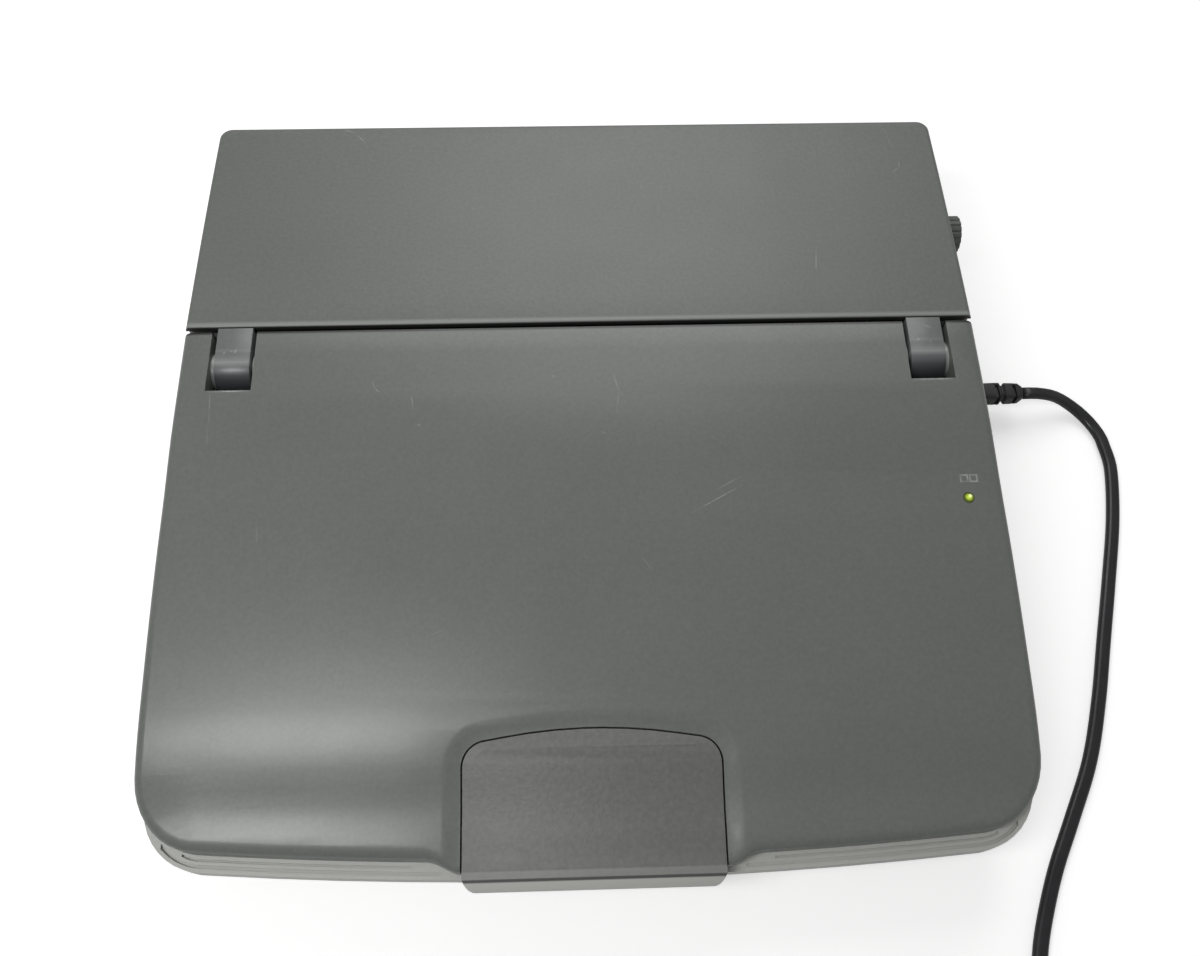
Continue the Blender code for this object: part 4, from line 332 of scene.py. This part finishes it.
def make_relief():
    """Moulded boot of the lead: two blocks, a notch between them, a slot in the front of each."""
    low, high = node_box("strain_relief")
    flange = (high.z - CORD_EXIT[2]) / MILLI
    inside = low.x - SHIFT.x
    shape = [(inside, flange, flange, 2.0), (inside + RELIEF_FLANGE, flange, flange, 2.0),
             (inside + RELIEF_NECK[0], *RELIEF_NECK[1:])]
    first = len(shape)
    rings = []
    for number, (x, wide, high_half, power) in enumerate(shape + list(RELIEF_SHAPE)):
        ring = []
        for angle in round_angles(RELIEF_SIDES):
            across, rise = math.cos(angle), math.sin(angle)
            y = wide * math.copysign(abs(across) ** (2 / power), across)
            z = high_half * math.copysign(abs(rise) ** (2 / power), rise)
            if number - first in RELIEF_SLOTS and across < SLOT_TO and rise > SLOT_FROM:
                y = max(y, SLOT_DEEP - wide)
                z = min(z, high_half - SLOT_DEEP)
            ring.append(Vector((x, CORD_EXIT[1] + y * MILLI, CORD_EXIT[2] + z * MILLI)) + SHIFT)
        rings.append(ring)
    relief = loft("strain_relief_boot", rings)
    split_edges(relief, RELIEF_EDGE)
    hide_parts("strain_relief")
    return relief


RELIEF = make_relief()
LEAD = make_cord()


# ---------------------------------------------------------------- dark strip of painted shade in the seam

# This strip is painted shade: a dark piece that fills the seam between the cover and the lid.
SHADE_STRIP_PROFILE = ((0.00270, 0.0805), (0.00270, 0.0838), (0.00260, 0.0842), (0.00140, 0.0842), (0.00125, 0.0840),
                (0.00160, 0.0832), (0.00210, 0.0820), (0.00240, 0.0808))
SHADE_STRIP_HALF = 0.1832
SHADE_STRIP_MIDDLE = Vector((0.0, 0.0022, 0.0826))
SHADE_STRIP_ENDS = ((-1.0, 0.3), (-0.997, 0.75), (-0.991, 1.0), (0.991, 1.0), (0.997, 0.75), (1.0, 0.3))
SHADE_STRIP_EDGE = 40


def make_shade_strip():
    """Dark strip under the printer cover's front lip, put in as painted shade to darken the seam, its ends rounded
    off.
    """
    rings = []
    for x, size in SHADE_STRIP_ENDS:
        ring = []
        for y, z in SHADE_STRIP_PROFILE:
            place = SHADE_STRIP_MIDDLE + (Vector((0.0, y, z)) - SHADE_STRIP_MIDDLE) * size
            ring.append(Vector((x * SHADE_STRIP_HALF, place.y, place.z)) + SHIFT)
        rings.append(ring)
    shade_strip = loft("cover_shade_strip", rings, "cover")
    split_edges(shade_strip, SHADE_STRIP_EDGE)
    return shade_strip


SHADE_STRIP = make_shade_strip()


# ---------------------------------------------------------------- round ears beside the hinge barrels

# The profile gives, in millimetres, how far each ring stands off its wall and its radius.
HINGE_LINE = (-0.0165, 0.0755)
NOTCH_SIDES = ((-0.1713, 1), (-0.1507, -1), (0.1507, 1), (0.1713, -1))
EAR_PROFILE = ((0.00, 8.6), (1.25, 8.6), (1.50, 8.45), (1.62, 8.15), (1.62, 5.6), (1.50, 5.3), (1.42, 4.8),
               (1.42, 2.0))
EAR_SIDES = 40
EAR_EDGE = 50


def make_ears():
    """Raised ring with a rounded rim on each side wall of the lid's two hinge notches."""
    ears = []
    for number, (wall, way) in enumerate(NOTCH_SIDES, 1):
        rings = []
        for proud, radius in EAR_PROFILE:
            ring = []
            for angle in round_angles(EAR_SIDES):
                ring.append(Vector((wall + way * proud * MILLI, HINGE_LINE[0] + radius * MILLI * math.cos(angle),
                                    HINGE_LINE[1] + radius * MILLI * math.sin(angle))) + SHIFT)
            rings.append(ring)
        ear = loft(f"hinge_ear_{number}", rings, "lid")
        split_edges(ear, EAR_EDGE)
        ears.append(ear)
    return ears


EARS = make_ears()


# ---------------------------------------------------------------- materials

CLOUD_SCALE = 14.0
HANDLED_SCALE = 35.0
WANDER = 0.015          # of the roughness, each way
COARSER = 3             # between the two sizes of grain
SPECK_SHARE = 0.30
SPECK_TONE = 1.30
FINE_RELIEF = 0.0001    # heights behind the bump nodes
COARSE_RELIEF = 0.0003
GLASS_RELIEF = 0.0002
COAT_ROUGHNESS = 0.2
DUST_TONE = 2.2
# Colour of the light wear marks, also used for painted highlights along edges.
SCRATCH_AND_HIGHLIGHT_TONE = (0.46, 0.48, 0.46, 1)
PRINT_WEIGHT = 0.55
FRAME_LINE = (0.80, 0.20)   # middle and half width of a printed square's line, as shares of its half size
GLINT_TONE = (0.95, 0.98, 0.50, 1)
GLINT_AT = Vector((0.32, 0.30, 0))
WELD_REACH = 0.00001


def wire(tree, *pairs):
    """Links each output to its socket."""
    for output, socket in pairs:
        tree.links.new(output, socket)


def noise(tree, coordinates, scale, detail=3.0, roughness=0.5):
    """Noise value at a place."""
    node = tree.nodes.new("ShaderNodeTexNoise")
    node.inputs["Scale"].default_value = scale
    node.inputs["Detail"].default_value = detail
    node.inputs["Roughness"].default_value = roughness
    tree.links.new(coordinates, node.inputs["Vector"])
    return node.outputs["Fac"]


def spread(tree, value, low, high, start=0.3, end=0.7):
    """Maps a noise value onto a range."""
    node = tree.nodes.new("ShaderNodeMapRange")
    node.inputs["From Min"].default_value = start
    node.inputs["From Max"].default_value = end
    node.inputs["To Min"].default_value = low
    node.inputs["To Max"].default_value = high
    tree.links.new(value, node.inputs["Value"])
    return node.outputs["Result"]


def mix(tree, factor, first, second):
    """Mixed colour of two colours or outputs."""
    node = tree.nodes.new("ShaderNodeMix")
    node.data_type = "RGBA"
    for value, socket in ((first, node.inputs["A"]), (second, node.inputs["B"])):
        if isinstance(value, tuple):
            socket.default_value = value
        else:
            tree.links.new(value, socket)
    if isinstance(factor, float):
        node.inputs["Factor"].default_value = factor
    else:
        tree.links.new(factor, node.inputs["Factor"])
    return node.outputs["Result"]


def bump(tree, height, strength, distance, below=None):
    """Normal of a height, laid over another normal where one is given."""
    node = tree.nodes.new("ShaderNodeBump")
    node.inputs["Strength"].default_value = strength
    node.inputs["Distance"].default_value = distance
    tree.links.new(height, node.inputs["Height"])
    if below is not None:
        tree.links.new(below, node.inputs["Normal"])
    return node.outputs["Normal"]


def start_material(name):
    """A material with its tree, its shader and the piece's own coordinates."""
    material = bpy.data.materials.new(name)
    material.use_nodes = True
    tree = material.node_tree
    shader = tree.nodes["Principled BSDF"]
    coordinates = tree.nodes.new("ShaderNodeTexCoord").outputs["Object"]
    return material, tree, shader, coordinates


def shade(colour, factor):
    """A colour made darker or lighter."""
    return (*(min(1.0, channel * factor) for channel in colour), 1.0)


def moulded(name, colour, roughness=0.5, grain=1500.0, depth=0.35, blotch=0.05, coat=0.0, mottle=0.025):
    """Moulded plastic: faint cloudy colour, a fine spark grain, a roughness that wanders where it was handled."""
    material, tree, shader, place = start_material(name)
    cloud = spread(tree, noise(tree, place, CLOUD_SCALE, 4.0), 0.0, 1.0)
    clouded = mix(tree, cloud, shade(colour, 1 - blotch), shade(colour, 1 + blotch))
    coarse = noise(tree, place, grain / COARSER, 2.0, 0.6)
    darker = spread(tree, coarse, 0.0, 1.0, 0.25, 0.75)
    base = mix(tree, darker, mix(tree, mottle, clouded, (0, 0, 0, 1)), mix(tree, mottle, clouded, (1, 1, 1, 1)))
    fine = noise(tree, place, grain, 2.0, 0.6)
    speck = spread(tree, fine, 0.0, SPECK_SHARE, 0.55, 0.80)
    handled = spread(tree, noise(tree, place, HANDLED_SCALE), roughness - WANDER, roughness + WANDER)
    grained = bump(tree, fine, depth, FINE_RELIEF, bump(tree, coarse, depth, COARSE_RELIEF))
    wire(tree, (mix(tree, speck, base, shade(colour, SPECK_TONE)), shader.inputs["Base Color"]),
         (handled, shader.inputs["Roughness"]), (grained, shader.inputs["Normal"]))
    shader.inputs["Coat Weight"].default_value = coat
    shader.inputs["Coat Roughness"].default_value = COAT_ROUGHNESS
    return material


def metal(name, colour, roughness=0.3, scale=(60.0, 900.0, 900.0), stain=0.15):
    """Sheet or turned metal with drawn lines along one way and a dull bloom in patches."""
    material, tree, shader, place = start_material(name)
    stretch = tree.nodes.new("ShaderNodeMapping")
    stretch.inputs["Scale"].default_value = scale
    tree.links.new(place, stretch.inputs["Vector"])
    lines = noise(tree, stretch.outputs["Vector"], 1.0, 3.0, 0.6)
    bloom = spread(tree, noise(tree, place, 40.0, 4.0), 0.0, 1.0)
    wire(tree, (mix(tree, bloom, shade(colour, 1 - stain), shade(colour, 1.0)), shader.inputs["Base Color"]),
         (spread(tree, lines, roughness - 0.07, roughness + 0.10), shader.inputs["Roughness"]),
         (bump(tree, lines, 0.15, FINE_RELIEF), shader.inputs["Normal"]))
    shader.inputs["Metallic"].default_value = 1.0
    return material


def rubber(name, colour, roughness=0.6, grain=900.0, depth=0.3):
    """Soft black moulding with a bloom of paler dust in its low spots."""
    material, tree, shader, place = start_material(name)
    fine = noise(tree, place, grain, 3.0, 0.6)
    dust = spread(tree, noise(tree, place, 90.0, 5.0, 0.65), 0.0, 0.5, 0.5, 0.8)
    wire(tree, (mix(tree, dust, shade(colour, 1.0), shade(colour, DUST_TONE)), shader.inputs["Base Color"]),
         (spread(tree, noise(tree, place, 60.0), roughness - 0.06, roughness + 0.08), shader.inputs["Roughness"]),
         (bump(tree, fine, depth, FINE_RELIEF), shader.inputs["Normal"]))
    return material


def wear_and_painted_highlights(material, node, streaks, squares=()):
    """Fine light lines, each from one point to another in plan, and small printed squares; most lines are wear
    marks, and those along the lid's notch edges are painted highlights.
    """
    tree = material.node_tree
    shader = tree.nodes["Principled BSDF"]
    coordinates = tree.nodes.new("ShaderNodeTexCoord").outputs["Object"]
    origin = SHIFT - node.matrix_world.translation
    broken = spread(tree, noise(tree, coordinates, 260.0, 2.0), 0.35, 1.0, 0.35, 0.6)
    total = None
    for start, end, wide, strength in streaks:
        span = (Vector(end) - Vector(start)).to_3d()
        middle = (Vector(start) + Vector(end)).to_3d() / 2 + origin
        reach = fitted(tree, coordinates, middle, math.atan2(span.y, span.x), (span.length / 2, wide, 1.0))
        edge = spread(tree, reach, 0.0, strength, 1.0, 0.0)
        total = edge if total is None else arithmetic(tree, "MAXIMUM", total, edge)
    total = arithmetic(tree, "MULTIPLY", total, broken)
    for x, y, half in squares:
        reach = fitted(tree, coordinates, Vector((x, y, 0)) + origin, 0.0, (half, half, 1.0))
        frame_line = tree.nodes.new("ShaderNodeMath")
        frame_line.operation = "COMPARE"
        frame_line.inputs[1].default_value, frame_line.inputs[2].default_value = FRAME_LINE
        tree.links.new(reach, frame_line.inputs[0])
        faded = arithmetic(tree, "MULTIPLY", frame_line.outputs[0], broken)
        total = arithmetic(tree, "MAXIMUM", total, arithmetic(tree, "MULTIPLY", faded, PRINT_WEIGHT))
    below = shader.inputs["Base Color"].links[0].from_socket
    wire(tree, (mix(tree, total, below, SCRATCH_AND_HIGHLIGHT_TONE), shader.inputs["Base Color"]))
    return material


def painted_light_bands(material, node, start, end, stops):
    """Painted highlights and painted shade laid over a material from one y to another: each stop has its share,
    its colour and its weight.
    """
    tree = material.node_tree
    shader = tree.nodes["Principled BSDF"]
    coordinates = tree.nodes.new("ShaderNodeTexCoord").outputs["Object"]
    parts = tree.nodes.new("ShaderNodeSeparateXYZ")
    tree.links.new(coordinates, parts.inputs["Vector"])
    origin = (SHIFT - node.matrix_world.translation).y
    share = spread(tree, parts.outputs["Y"], 0.0, 1.0, start + origin, end + origin)
    ramp = tree.nodes.new("ShaderNodeValToRGB")
    points = ramp.color_ramp.elements
    while len(points) < len(stops):
        points.new(0.5)
    for point, (place, tone, weight) in zip(points, stops):
        point.position = place
        point.color = (*tone, weight)
    tree.links.new(share, ramp.inputs["Fac"])
    below = shader.inputs["Base Color"].links[0].from_socket
    wire(tree, (mix(tree, ramp.outputs["Alpha"], below, ramp.outputs["Color"]), shader.inputs["Base Color"]))
    return material


def fitted(tree, coordinates, middle, angle, halves):
    """Larger share of the half sizes at which a place lies from the middle; 1 on the rim."""
    node = tree.nodes.new("ShaderNodeMapping")
    node.vector_type = "TEXTURE"
    node.inputs["Location"].default_value = middle
    node.inputs["Rotation"].default_value = (0, 0, angle)
    node.inputs["Scale"].default_value = halves
    tree.links.new(coordinates, node.inputs["Vector"])
    parts = tree.nodes.new("ShaderNodeSeparateXYZ")
    tree.links.new(node.outputs["Vector"], parts.inputs["Vector"])
    sizes = [arithmetic(tree, "ABSOLUTE", parts.outputs[axis]) for axis in ("X", "Y")]
    return arithmetic(tree, "MAXIMUM", *sizes)


def arithmetic(tree, operation, *values):
    """Result of a sum on numbers or outputs."""
    node = tree.nodes.new("ShaderNodeMath")
    node.operation = operation
    for value, socket in zip(values, node.inputs):
        if isinstance(value, float):
            socket.default_value = value
        else:
            tree.links.new(value, socket)
    return node.outputs[0]


SHELL = (0.132, 0.142, 0.131)

# Each line: its two ends in plan, its half width and its strength. The first two are painted highlights along the
# notch edges, where their rounding catches the light; the rest are wear marks.
LID_SCRATCHES_AND_HIGHLIGHTS = (((-0.1712, -0.0334), (-0.1508, -0.0334), 0.0005, 0.95),
                 ((0.1508, -0.0334), (0.1712, -0.0334), 0.0005, 0.95),
                 ((0.0444, -0.0962), (0.0698, -0.0826), 0.0003, 0.62),
                 ((0.0561, -0.0857), (0.0705, -0.0781), 0.0003, 0.55),
                 ((-0.1689, -0.0317), (-0.1675, -0.05), 0.0004, 0.35),
                 ((-0.1683, -0.0489), (-0.167, -0.0617), 0.0004, 0.18),
                 ((-0.1743, -0.069), (-0.1701, -0.0711), 0.0022, 0.16),
                 ((0.0137, -0.0274), (0.016, -0.0371), 0.0006, 0.3),
                 ((0.016, -0.0365), (0.0146, -0.0487), 0.0008, 0.18),
                 ((0.0074, -0.0567), (0.0096, -0.0578), 0.0006, 0.35),
                 ((-0.0144, -0.028), (-0.0126, -0.0291), 0.0005, 0.35),
                 ((-0.1425, -0.0965), (-0.1413, -0.1065), 0.0005, 0.2),
                 ((-0.0961, -0.0289), (-0.0948, -0.0332), 0.0003, 0.55),
                 ((-0.0948, -0.0332), (-0.0922, -0.0354), 0.0003, 0.55),
                 ((-0.0781, -0.0367), (-0.0768, -0.0446), 0.0003, 0.6),
                 ((-0.0747, -0.0514), (-0.0733, -0.0525), 0.0006, 0.45),
                 ((0.0227, -0.1141), (0.0276, -0.1208), 0.0002, 0.35),
                 ((-0.0672, -0.1464), (-0.0606, -0.1439), 0.0002, 0.3))
COVER_SCRATCHES = (((-0.1212, 0.1242), (-0.1148, 0.1213), 0.0003, 0.65),
                   ((-0.1148, 0.1213), (-0.1092, 0.1143), 0.0003, 0.65),
                   ((0.1604, 0.1205), (0.1615, 0.1156), 0.0003, 0.45),
                   ((0.1615, 0.1156), (0.1624, 0.1079), 0.0003, 0.35),
                   ((0.1653, 0.0978), (0.1641, 0.0926), 0.0003, 0.6),
                   ((0.1641, 0.0926), (0.1594, 0.089), 0.0003, 0.45),
                   ((0.1153, 0.0412), (0.1137, 0.0278), 0.0003, 0.6),
                   ((-0.0542, 0.0685), (-0.0463, 0.0709), 0.0002, 0.3),
                   ((0.0312, 0.0865), (0.0326, 0.0734), 0.0002, 0.25))
# Middle in plan and half size.
PRINTED_SQUARES = ((0.1676, -0.0821, 0.0019), (0.1718, -0.0821, 0.0019))
HINGE_SCRATCHES = (((-0.1655, -0.0128), (-0.1642, -0.0132), 0.0008, 0.6),
                   ((-0.1622, -0.0126), (-0.1612, -0.0118), 0.0006, 0.7),
                   ((-0.1602, -0.0134), (-0.1594, -0.0112), 0.0007, 0.6),
                   ((0.1565, -0.0122), (0.1578, -0.0116), 0.0007, 0.5),
                   ((0.1622, -0.0130), (0.1635, -0.0124), 0.0006, 0.5),
                   ((0.1600, -0.0040), (0.1648, -0.0058), 0.0004, 0.4))

# Painted highlights and painted shade, laid in bands along y. Each tone: its share of the way through the band,
# its colour and its weight.
# Lid: painted shade that darkens the lid's rear edge at the seam.
LID_SEAM_SHADE = ((0.0, (0.02, 0.02, 0.02), 0.0), (0.35, (0.02, 0.02, 0.02), 0.0), (0.62, (0.01, 0.01, 0.01), 0.92),
             (1.0, (0.01, 0.01, 0.01), 0.95))
# Cover: a painted highlight along the front lip's edge, then painted shade darkening it into the seam.
COVER_LIP_HIGHLIGHT_AND_SEAM_SHADE = ((0.0, (0.26, 0.27, 0.26), 0.0), (0.35, (0.32, 0.33, 0.32), 0.60), (0.60, (0.32, 0.33, 0.32), 0.60),
               (0.74, (0.01, 0.01, 0.01), 0.9), (1.0, (0.01, 0.01, 0.01), 0.95))
# Latch: painted shade on the plate's front part, a painted highlight on the rounded edge, painted shade in the
# crease, and the lip made light as painted light on its front-facing face.
LATCH_PAINTED_LIGHT_AND_SHADE = ((0.0, (0.11, 0.115, 0.11), 0.25), (0.12, (0.10, 0.105, 0.10), 0.35),
               (0.25, (0.26, 0.26, 0.25), 0.55), (0.66, (0.24, 0.24, 0.23), 0.55),
               (0.71, (0.05, 0.05, 0.05), 0.9), (0.80, (0.05, 0.05, 0.05), 0.9),
               (0.87, (0.56, 0.56, 0.53), 0.95), (1.0, (0.56, 0.56, 0.53), 0.95))
# Hinge arm: a faint lighter band, then a painted highlight band where the arm turns over the barrel, and painted
# shade below it down to the gap.
HINGE_BARREL_HIGHLIGHT_AND_SHADE = ((0.0, (0.16, 0.17, 0.165), 0.0), (0.10, (0.30, 0.31, 0.31), 0.25), (0.18, (0.16, 0.17, 0.17), 0.1),
               (0.42, (0.36, 0.37, 0.37), 0.60), (0.54, (0.12, 0.125, 0.13), 0.6),
               (0.72, (0.04, 0.042, 0.05), 0.85), (1.0, (0.015, 0.016, 0.02), 0.95))
LID_SEAM_SHADE_BAND = (-0.0050, -0.0020)
COVER_HIGHLIGHT_AND_SHADE_BAND = (0.0042, -0.0002)
LATCH_LIGHT_AND_SHADE_BAND = (-0.2365, -0.2425)
HINGE_HIGHLIGHT_AND_SHADE_BAND = (-0.0100, -0.0290)

MATERIALS = {
    "lid": wear_and_painted_highlights(painted_light_bands(moulded("lid_plastic", SHELL, 0.31, depth=0.06, blotch=0.03),
                       NODES["lid_shell"], *LID_SEAM_SHADE_BAND, LID_SEAM_SHADE),
                NODES["lid_shell"], LID_SCRATCHES_AND_HIGHLIGHTS, PRINTED_SQUARES),
    "cover": wear_and_painted_highlights(painted_light_bands(moulded("cover_plastic", SHELL, 0.42, blotch=0.03),
                         NODES["printer_cover"], *COVER_HIGHLIGHT_AND_SHADE_BAND, COVER_LIP_HIGHLIGHT_AND_SEAM_SHADE),
                  NODES["printer_cover"], COVER_SCRATCHES),
    "case": moulded("case_plastic", (0.50, 0.505, 0.475), 0.50, blotch=0.04),
    "latch": painted_light_bands(moulded("latch_plastic", (0.140, 0.141, 0.136), 0.50, blotch=0.04, depth=0.5, mottle=0.05),
                    NODES["latch_lever"], *LATCH_LIGHT_AND_SHADE_BAND, LATCH_PAINTED_LIGHT_AND_SHADE),
    "hinge": wear_and_painted_highlights(painted_light_bands(moulded("hinge_plastic", (0.140, 0.146, 0.142), 0.36, depth=0.10, blotch=0.05, coat=0.12),
                         NODES["left_hinge_arm"], *HINGE_HIGHLIGHT_AND_SHADE_BAND, HINGE_BARREL_HIGHLIGHT_AND_SHADE),
                  NODES["left_hinge_arm"], HINGE_SCRATCHES),
    # The ears are coloured lighter than the shell: a painted highlight for the bright arc on their rims.
    "ear": moulded("ear_plastic_painted_highlight", (0.36, 0.37, 0.36), 0.26),
    "knob": moulded("knob_plastic", (0.105, 0.112, 0.106), 0.48),
    "keys": moulded("key_plastic", (0.50, 0.51, 0.48), 0.55, blotch=0.03),
    "keys_dark": moulded("key_plastic_dark", (0.22, 0.23, 0.22), 0.55),
    "black": moulded("black_plastic", (0.022, 0.022, 0.024), 0.42),
    "white": moulded("gear_plastic", (0.72, 0.72, 0.67), 0.45, blotch=0.03),
    "beige": moulded("switch_plastic", (0.40, 0.40, 0.36), 0.5),
    "foot": rubber("foot_rubber", (0.025, 0.025, 0.027), 0.8),
    "boot": rubber("boot_rubber", (0.020, 0.020, 0.021), 0.42, 1400.0, 0.4),
    "cord": rubber("cord_rubber", (0.016, 0.016, 0.018), 0.34, depth=0.12),
    "belt": rubber("belt_rubber", (0.02, 0.02, 0.02), 0.75),
    "platen": rubber("platen_rubber", (0.022, 0.022, 0.024), 0.6),
    "steel": metal("steel", (0.62, 0.62, 0.61), 0.28),
    "sheet": metal("sheet_steel", (0.58, 0.59, 0.58), 0.36, (300.0, 60.0, 300.0)),
    "brass": metal("blade_brass", (0.80, 0.66, 0.38), 0.3),
}


def lit_glass(name, colour, glow, node):
    """A small clear lens with a lamp behind it: dark rim, bright middle with a glint beside it."""
    material, tree, shader, place = start_material(name)
    low, high = node_box(node)
    middle = (low + high) / 2 - NODES[node].matrix_world.translation
    radius = (high.x - low.x) / 2
    ripple = noise(tree, place, 900.0, 2.0)
    away = round_share(tree, place, middle, radius)
    glint = round_share(tree, place, middle + GLINT_AT * radius, radius)
    core = spread(tree, away, 1.0, 0.0, 0.25, 0.85)
    spot = spread(tree, glint, 1.0, 0.0, 0.10, 0.45)
    pale = mix(tree, core, shade(colour, 0.16), shade(colour, 1.0))
    lamp = mix(tree, spot, pale, GLINT_TONE)
    wire(tree, (lamp, shader.inputs["Base Color"]), (lamp, shader.inputs["Emission Color"]),
         (bump(tree, ripple, 0.2, GLASS_RELIEF), shader.inputs["Normal"]))
    shader.inputs["Roughness"].default_value = 0.12
    shader.inputs["Emission Strength"].default_value = glow
    return material


def round_share(tree, place, middle, radius):
    """Share of a radius at which a place lies from a point, whatever its height."""
    node = tree.nodes.new("ShaderNodeMapping")
    node.vector_type = "TEXTURE"
    node.inputs["Location"].default_value = middle
    node.inputs["Scale"].default_value = (radius, radius, 1.0)
    tree.links.new(place, node.inputs["Vector"])
    length = tree.nodes.new("ShaderNodeVectorMath")
    length.operation = "LENGTH"
    tree.links.new(node.outputs["Vector"], length.inputs[0])
    return length.outputs["Value"]


def display(name):
    """Grey-green liquid crystal panel: fine columns of dots under a glossy sheet."""
    material, tree, shader, place = start_material(name)
    dots = tree.nodes.new("ShaderNodeTexWave")
    dots.inputs["Scale"].default_value = 420.0
    tree.links.new(place, dots.inputs["Vector"])
    cloud = spread(tree, noise(tree, place, 9.0), 0.0, 1.0)
    base = mix(tree, cloud, (0.20, 0.25, 0.21, 1), (0.26, 0.32, 0.26, 1))
    grid = spread(tree, dots.outputs["Fac"], 0.0, 0.25, 0.0, 1.0)
    wire(tree, (mix(tree, grid, base, (0.14, 0.18, 0.15, 1)), shader.inputs["Base Color"]),
         (spread(tree, noise(tree, place, 30.0), 0.10, 0.18), shader.inputs["Roughness"]))
    shader.inputs["Coat Weight"].default_value = 0.4
    return material


def circuit(name, board, track):
    """Lacquered board with copper tracks showing through as paler lines."""
    material, tree, shader, place = start_material(name)
    bricks = tree.nodes.new("ShaderNodeTexBrick")
    bricks.inputs["Scale"].default_value = 90.0
    bricks.inputs["Mortar Size"].default_value = 0.05
    for socket, level in (("Color1", 0), ("Color2", 0), ("Mortar", 1)):
        bricks.inputs[socket].default_value = (level, level, level, 1)
    tree.links.new(place, bricks.inputs["Vector"])
    flux = spread(tree, noise(tree, place, 50.0), 0.0, 0.35)
    lines = mix(tree, bricks.outputs["Color"], (*board, 1), (*track, 1))
    wire(tree, (mix(tree, flux, lines, shade(board, 0.6)), shader.inputs["Base Color"]),
         (spread(tree, noise(tree, place, 80.0), 0.30, 0.48), shader.inputs["Roughness"]),
         (bump(tree, bricks.outputs["Fac"], 0.2, FINE_RELIEF), shader.inputs["Normal"]))
    return material


MATERIALS["lens"] = lit_glass("lens_plastic", (0.45, 0.62, 0.06), 0.45, "indicator_lens")
MATERIALS["display"] = display("lcd_glass")
MATERIALS["green_board"] = circuit("green_board", (0.02, 0.13, 0.06), (0.06, 0.26, 0.10))
MATERIALS["brown_board"] = circuit("brown_board", (0.30, 0.18, 0.07), (0.45, 0.33, 0.12))

FINISHES = {
    "lid": ("lid_shell",),
    "cover": ("printer_cover",),
    "case": ("upper_case", "bottom_case", "display_bezel"),
    "latch": ("latch_lever",),
    "hinge": ("left_hinge_arm", "right_hinge_arm"),
    "knob": ("platen_knob",),
    "keys": ("space_bar", "key_row_1", "key_row_2", "key_row_3", "key_row_4"),
    "keys_dark": ("enter_key", "left_shift_key", "right_shift_key", "bottom_left_keys", "bottom_right_keys",
                  "eject_button", "contrast_dial"),
    "black": ("print_carriage", "ribbon_cassette", "plug_body"),
    "white": ("platen_gear", "feed_pinion", "belt_pulley"),
    "beige": ("power_switch",),
    "foot": ("foot_left_front", "foot_left_rear", "foot_right_front", "foot_right_rear"),
    "belt": ("carriage_belt",),
    "platen": ("platen_roller",),
    "steel": ("latch_pin", "left_lid_pin", "right_lid_pin", "left_cover_pin", "right_cover_pin", "carriage_rod",
              "paper_bail", "case_screw_left_front", "case_screw_left_rear", "case_screw_right_front",
              "case_screw_right_rear"),
    "sheet": ("key_plate", "printer_chassis", "floppy_drive", "feed_motor", "carriage_motor"),
    "brass": ("plug_blade_front", "plug_blade_rear"),
    "lens": ("indicator_lens",),
    "display": ("lcd_panel",),
    "green_board": ("main_circuit_board",),
    "brown_board": ("power_supply_board",),
}


def dress(thing, material):
    """One material all over."""
    mesh = thing.data
    mesh.materials.clear()
    mesh.materials.append(material)
    mesh.polygons.foreach_set("material_index", [0] * len(mesh.polygons))


SHARP = 34.0            # edges that turn by more than this stay sharp, in degrees


def soften(thing, edge=0.0):
    """Smooth shading that keeps the real edges, and a small round on them where edge isn't zero."""
    mesh = thing.data
    for layer in ("custom_normal", "sharp_edge", "sharp_face"):
        if layer in mesh.attributes:
            mesh.attributes.remove(mesh.attributes[layer])
    mesh.polygons.foreach_set("use_smooth", [True] * len(mesh.polygons))
    weld = thing.modifiers.new("weld", "WELD")
    weld.merge_threshold = WELD_REACH
    if edge:
        rounder = thing.modifiers.new("rounder", "BEVEL")
        rounder.width = edge
        rounder.segments = 2
        rounder.limit_method = "ANGLE"
        rounder.angle_limit = math.radians(SHARP)
        rounder.miter_outer = "MITER_ARC"
    split_edges(thing, SHARP)


EDGE_ROUND = 0.0005
ROUNDED = ("latch_lever", "left_hinge_arm", "right_hinge_arm", "space_bar", "enter_key", "left_shift_key",
           "right_shift_key")

for finish_name, node_names in FINISHES.items():
    for node_name in node_names:
        dress(NODES[node_name], MATERIALS[finish_name])
        soften(NODES[node_name], EDGE_ROUND if node_name in ROUNDED else 0.0)
dress(LEAD, MATERIALS["cord"])
dress(RELIEF, MATERIALS["boot"])
# The strip in the seam takes the dark foot rubber as painted shade.
dress(SHADE_STRIP, MATERIALS["foot"])
for ear in EARS:
    dress(ear, MATERIALS["ear"])
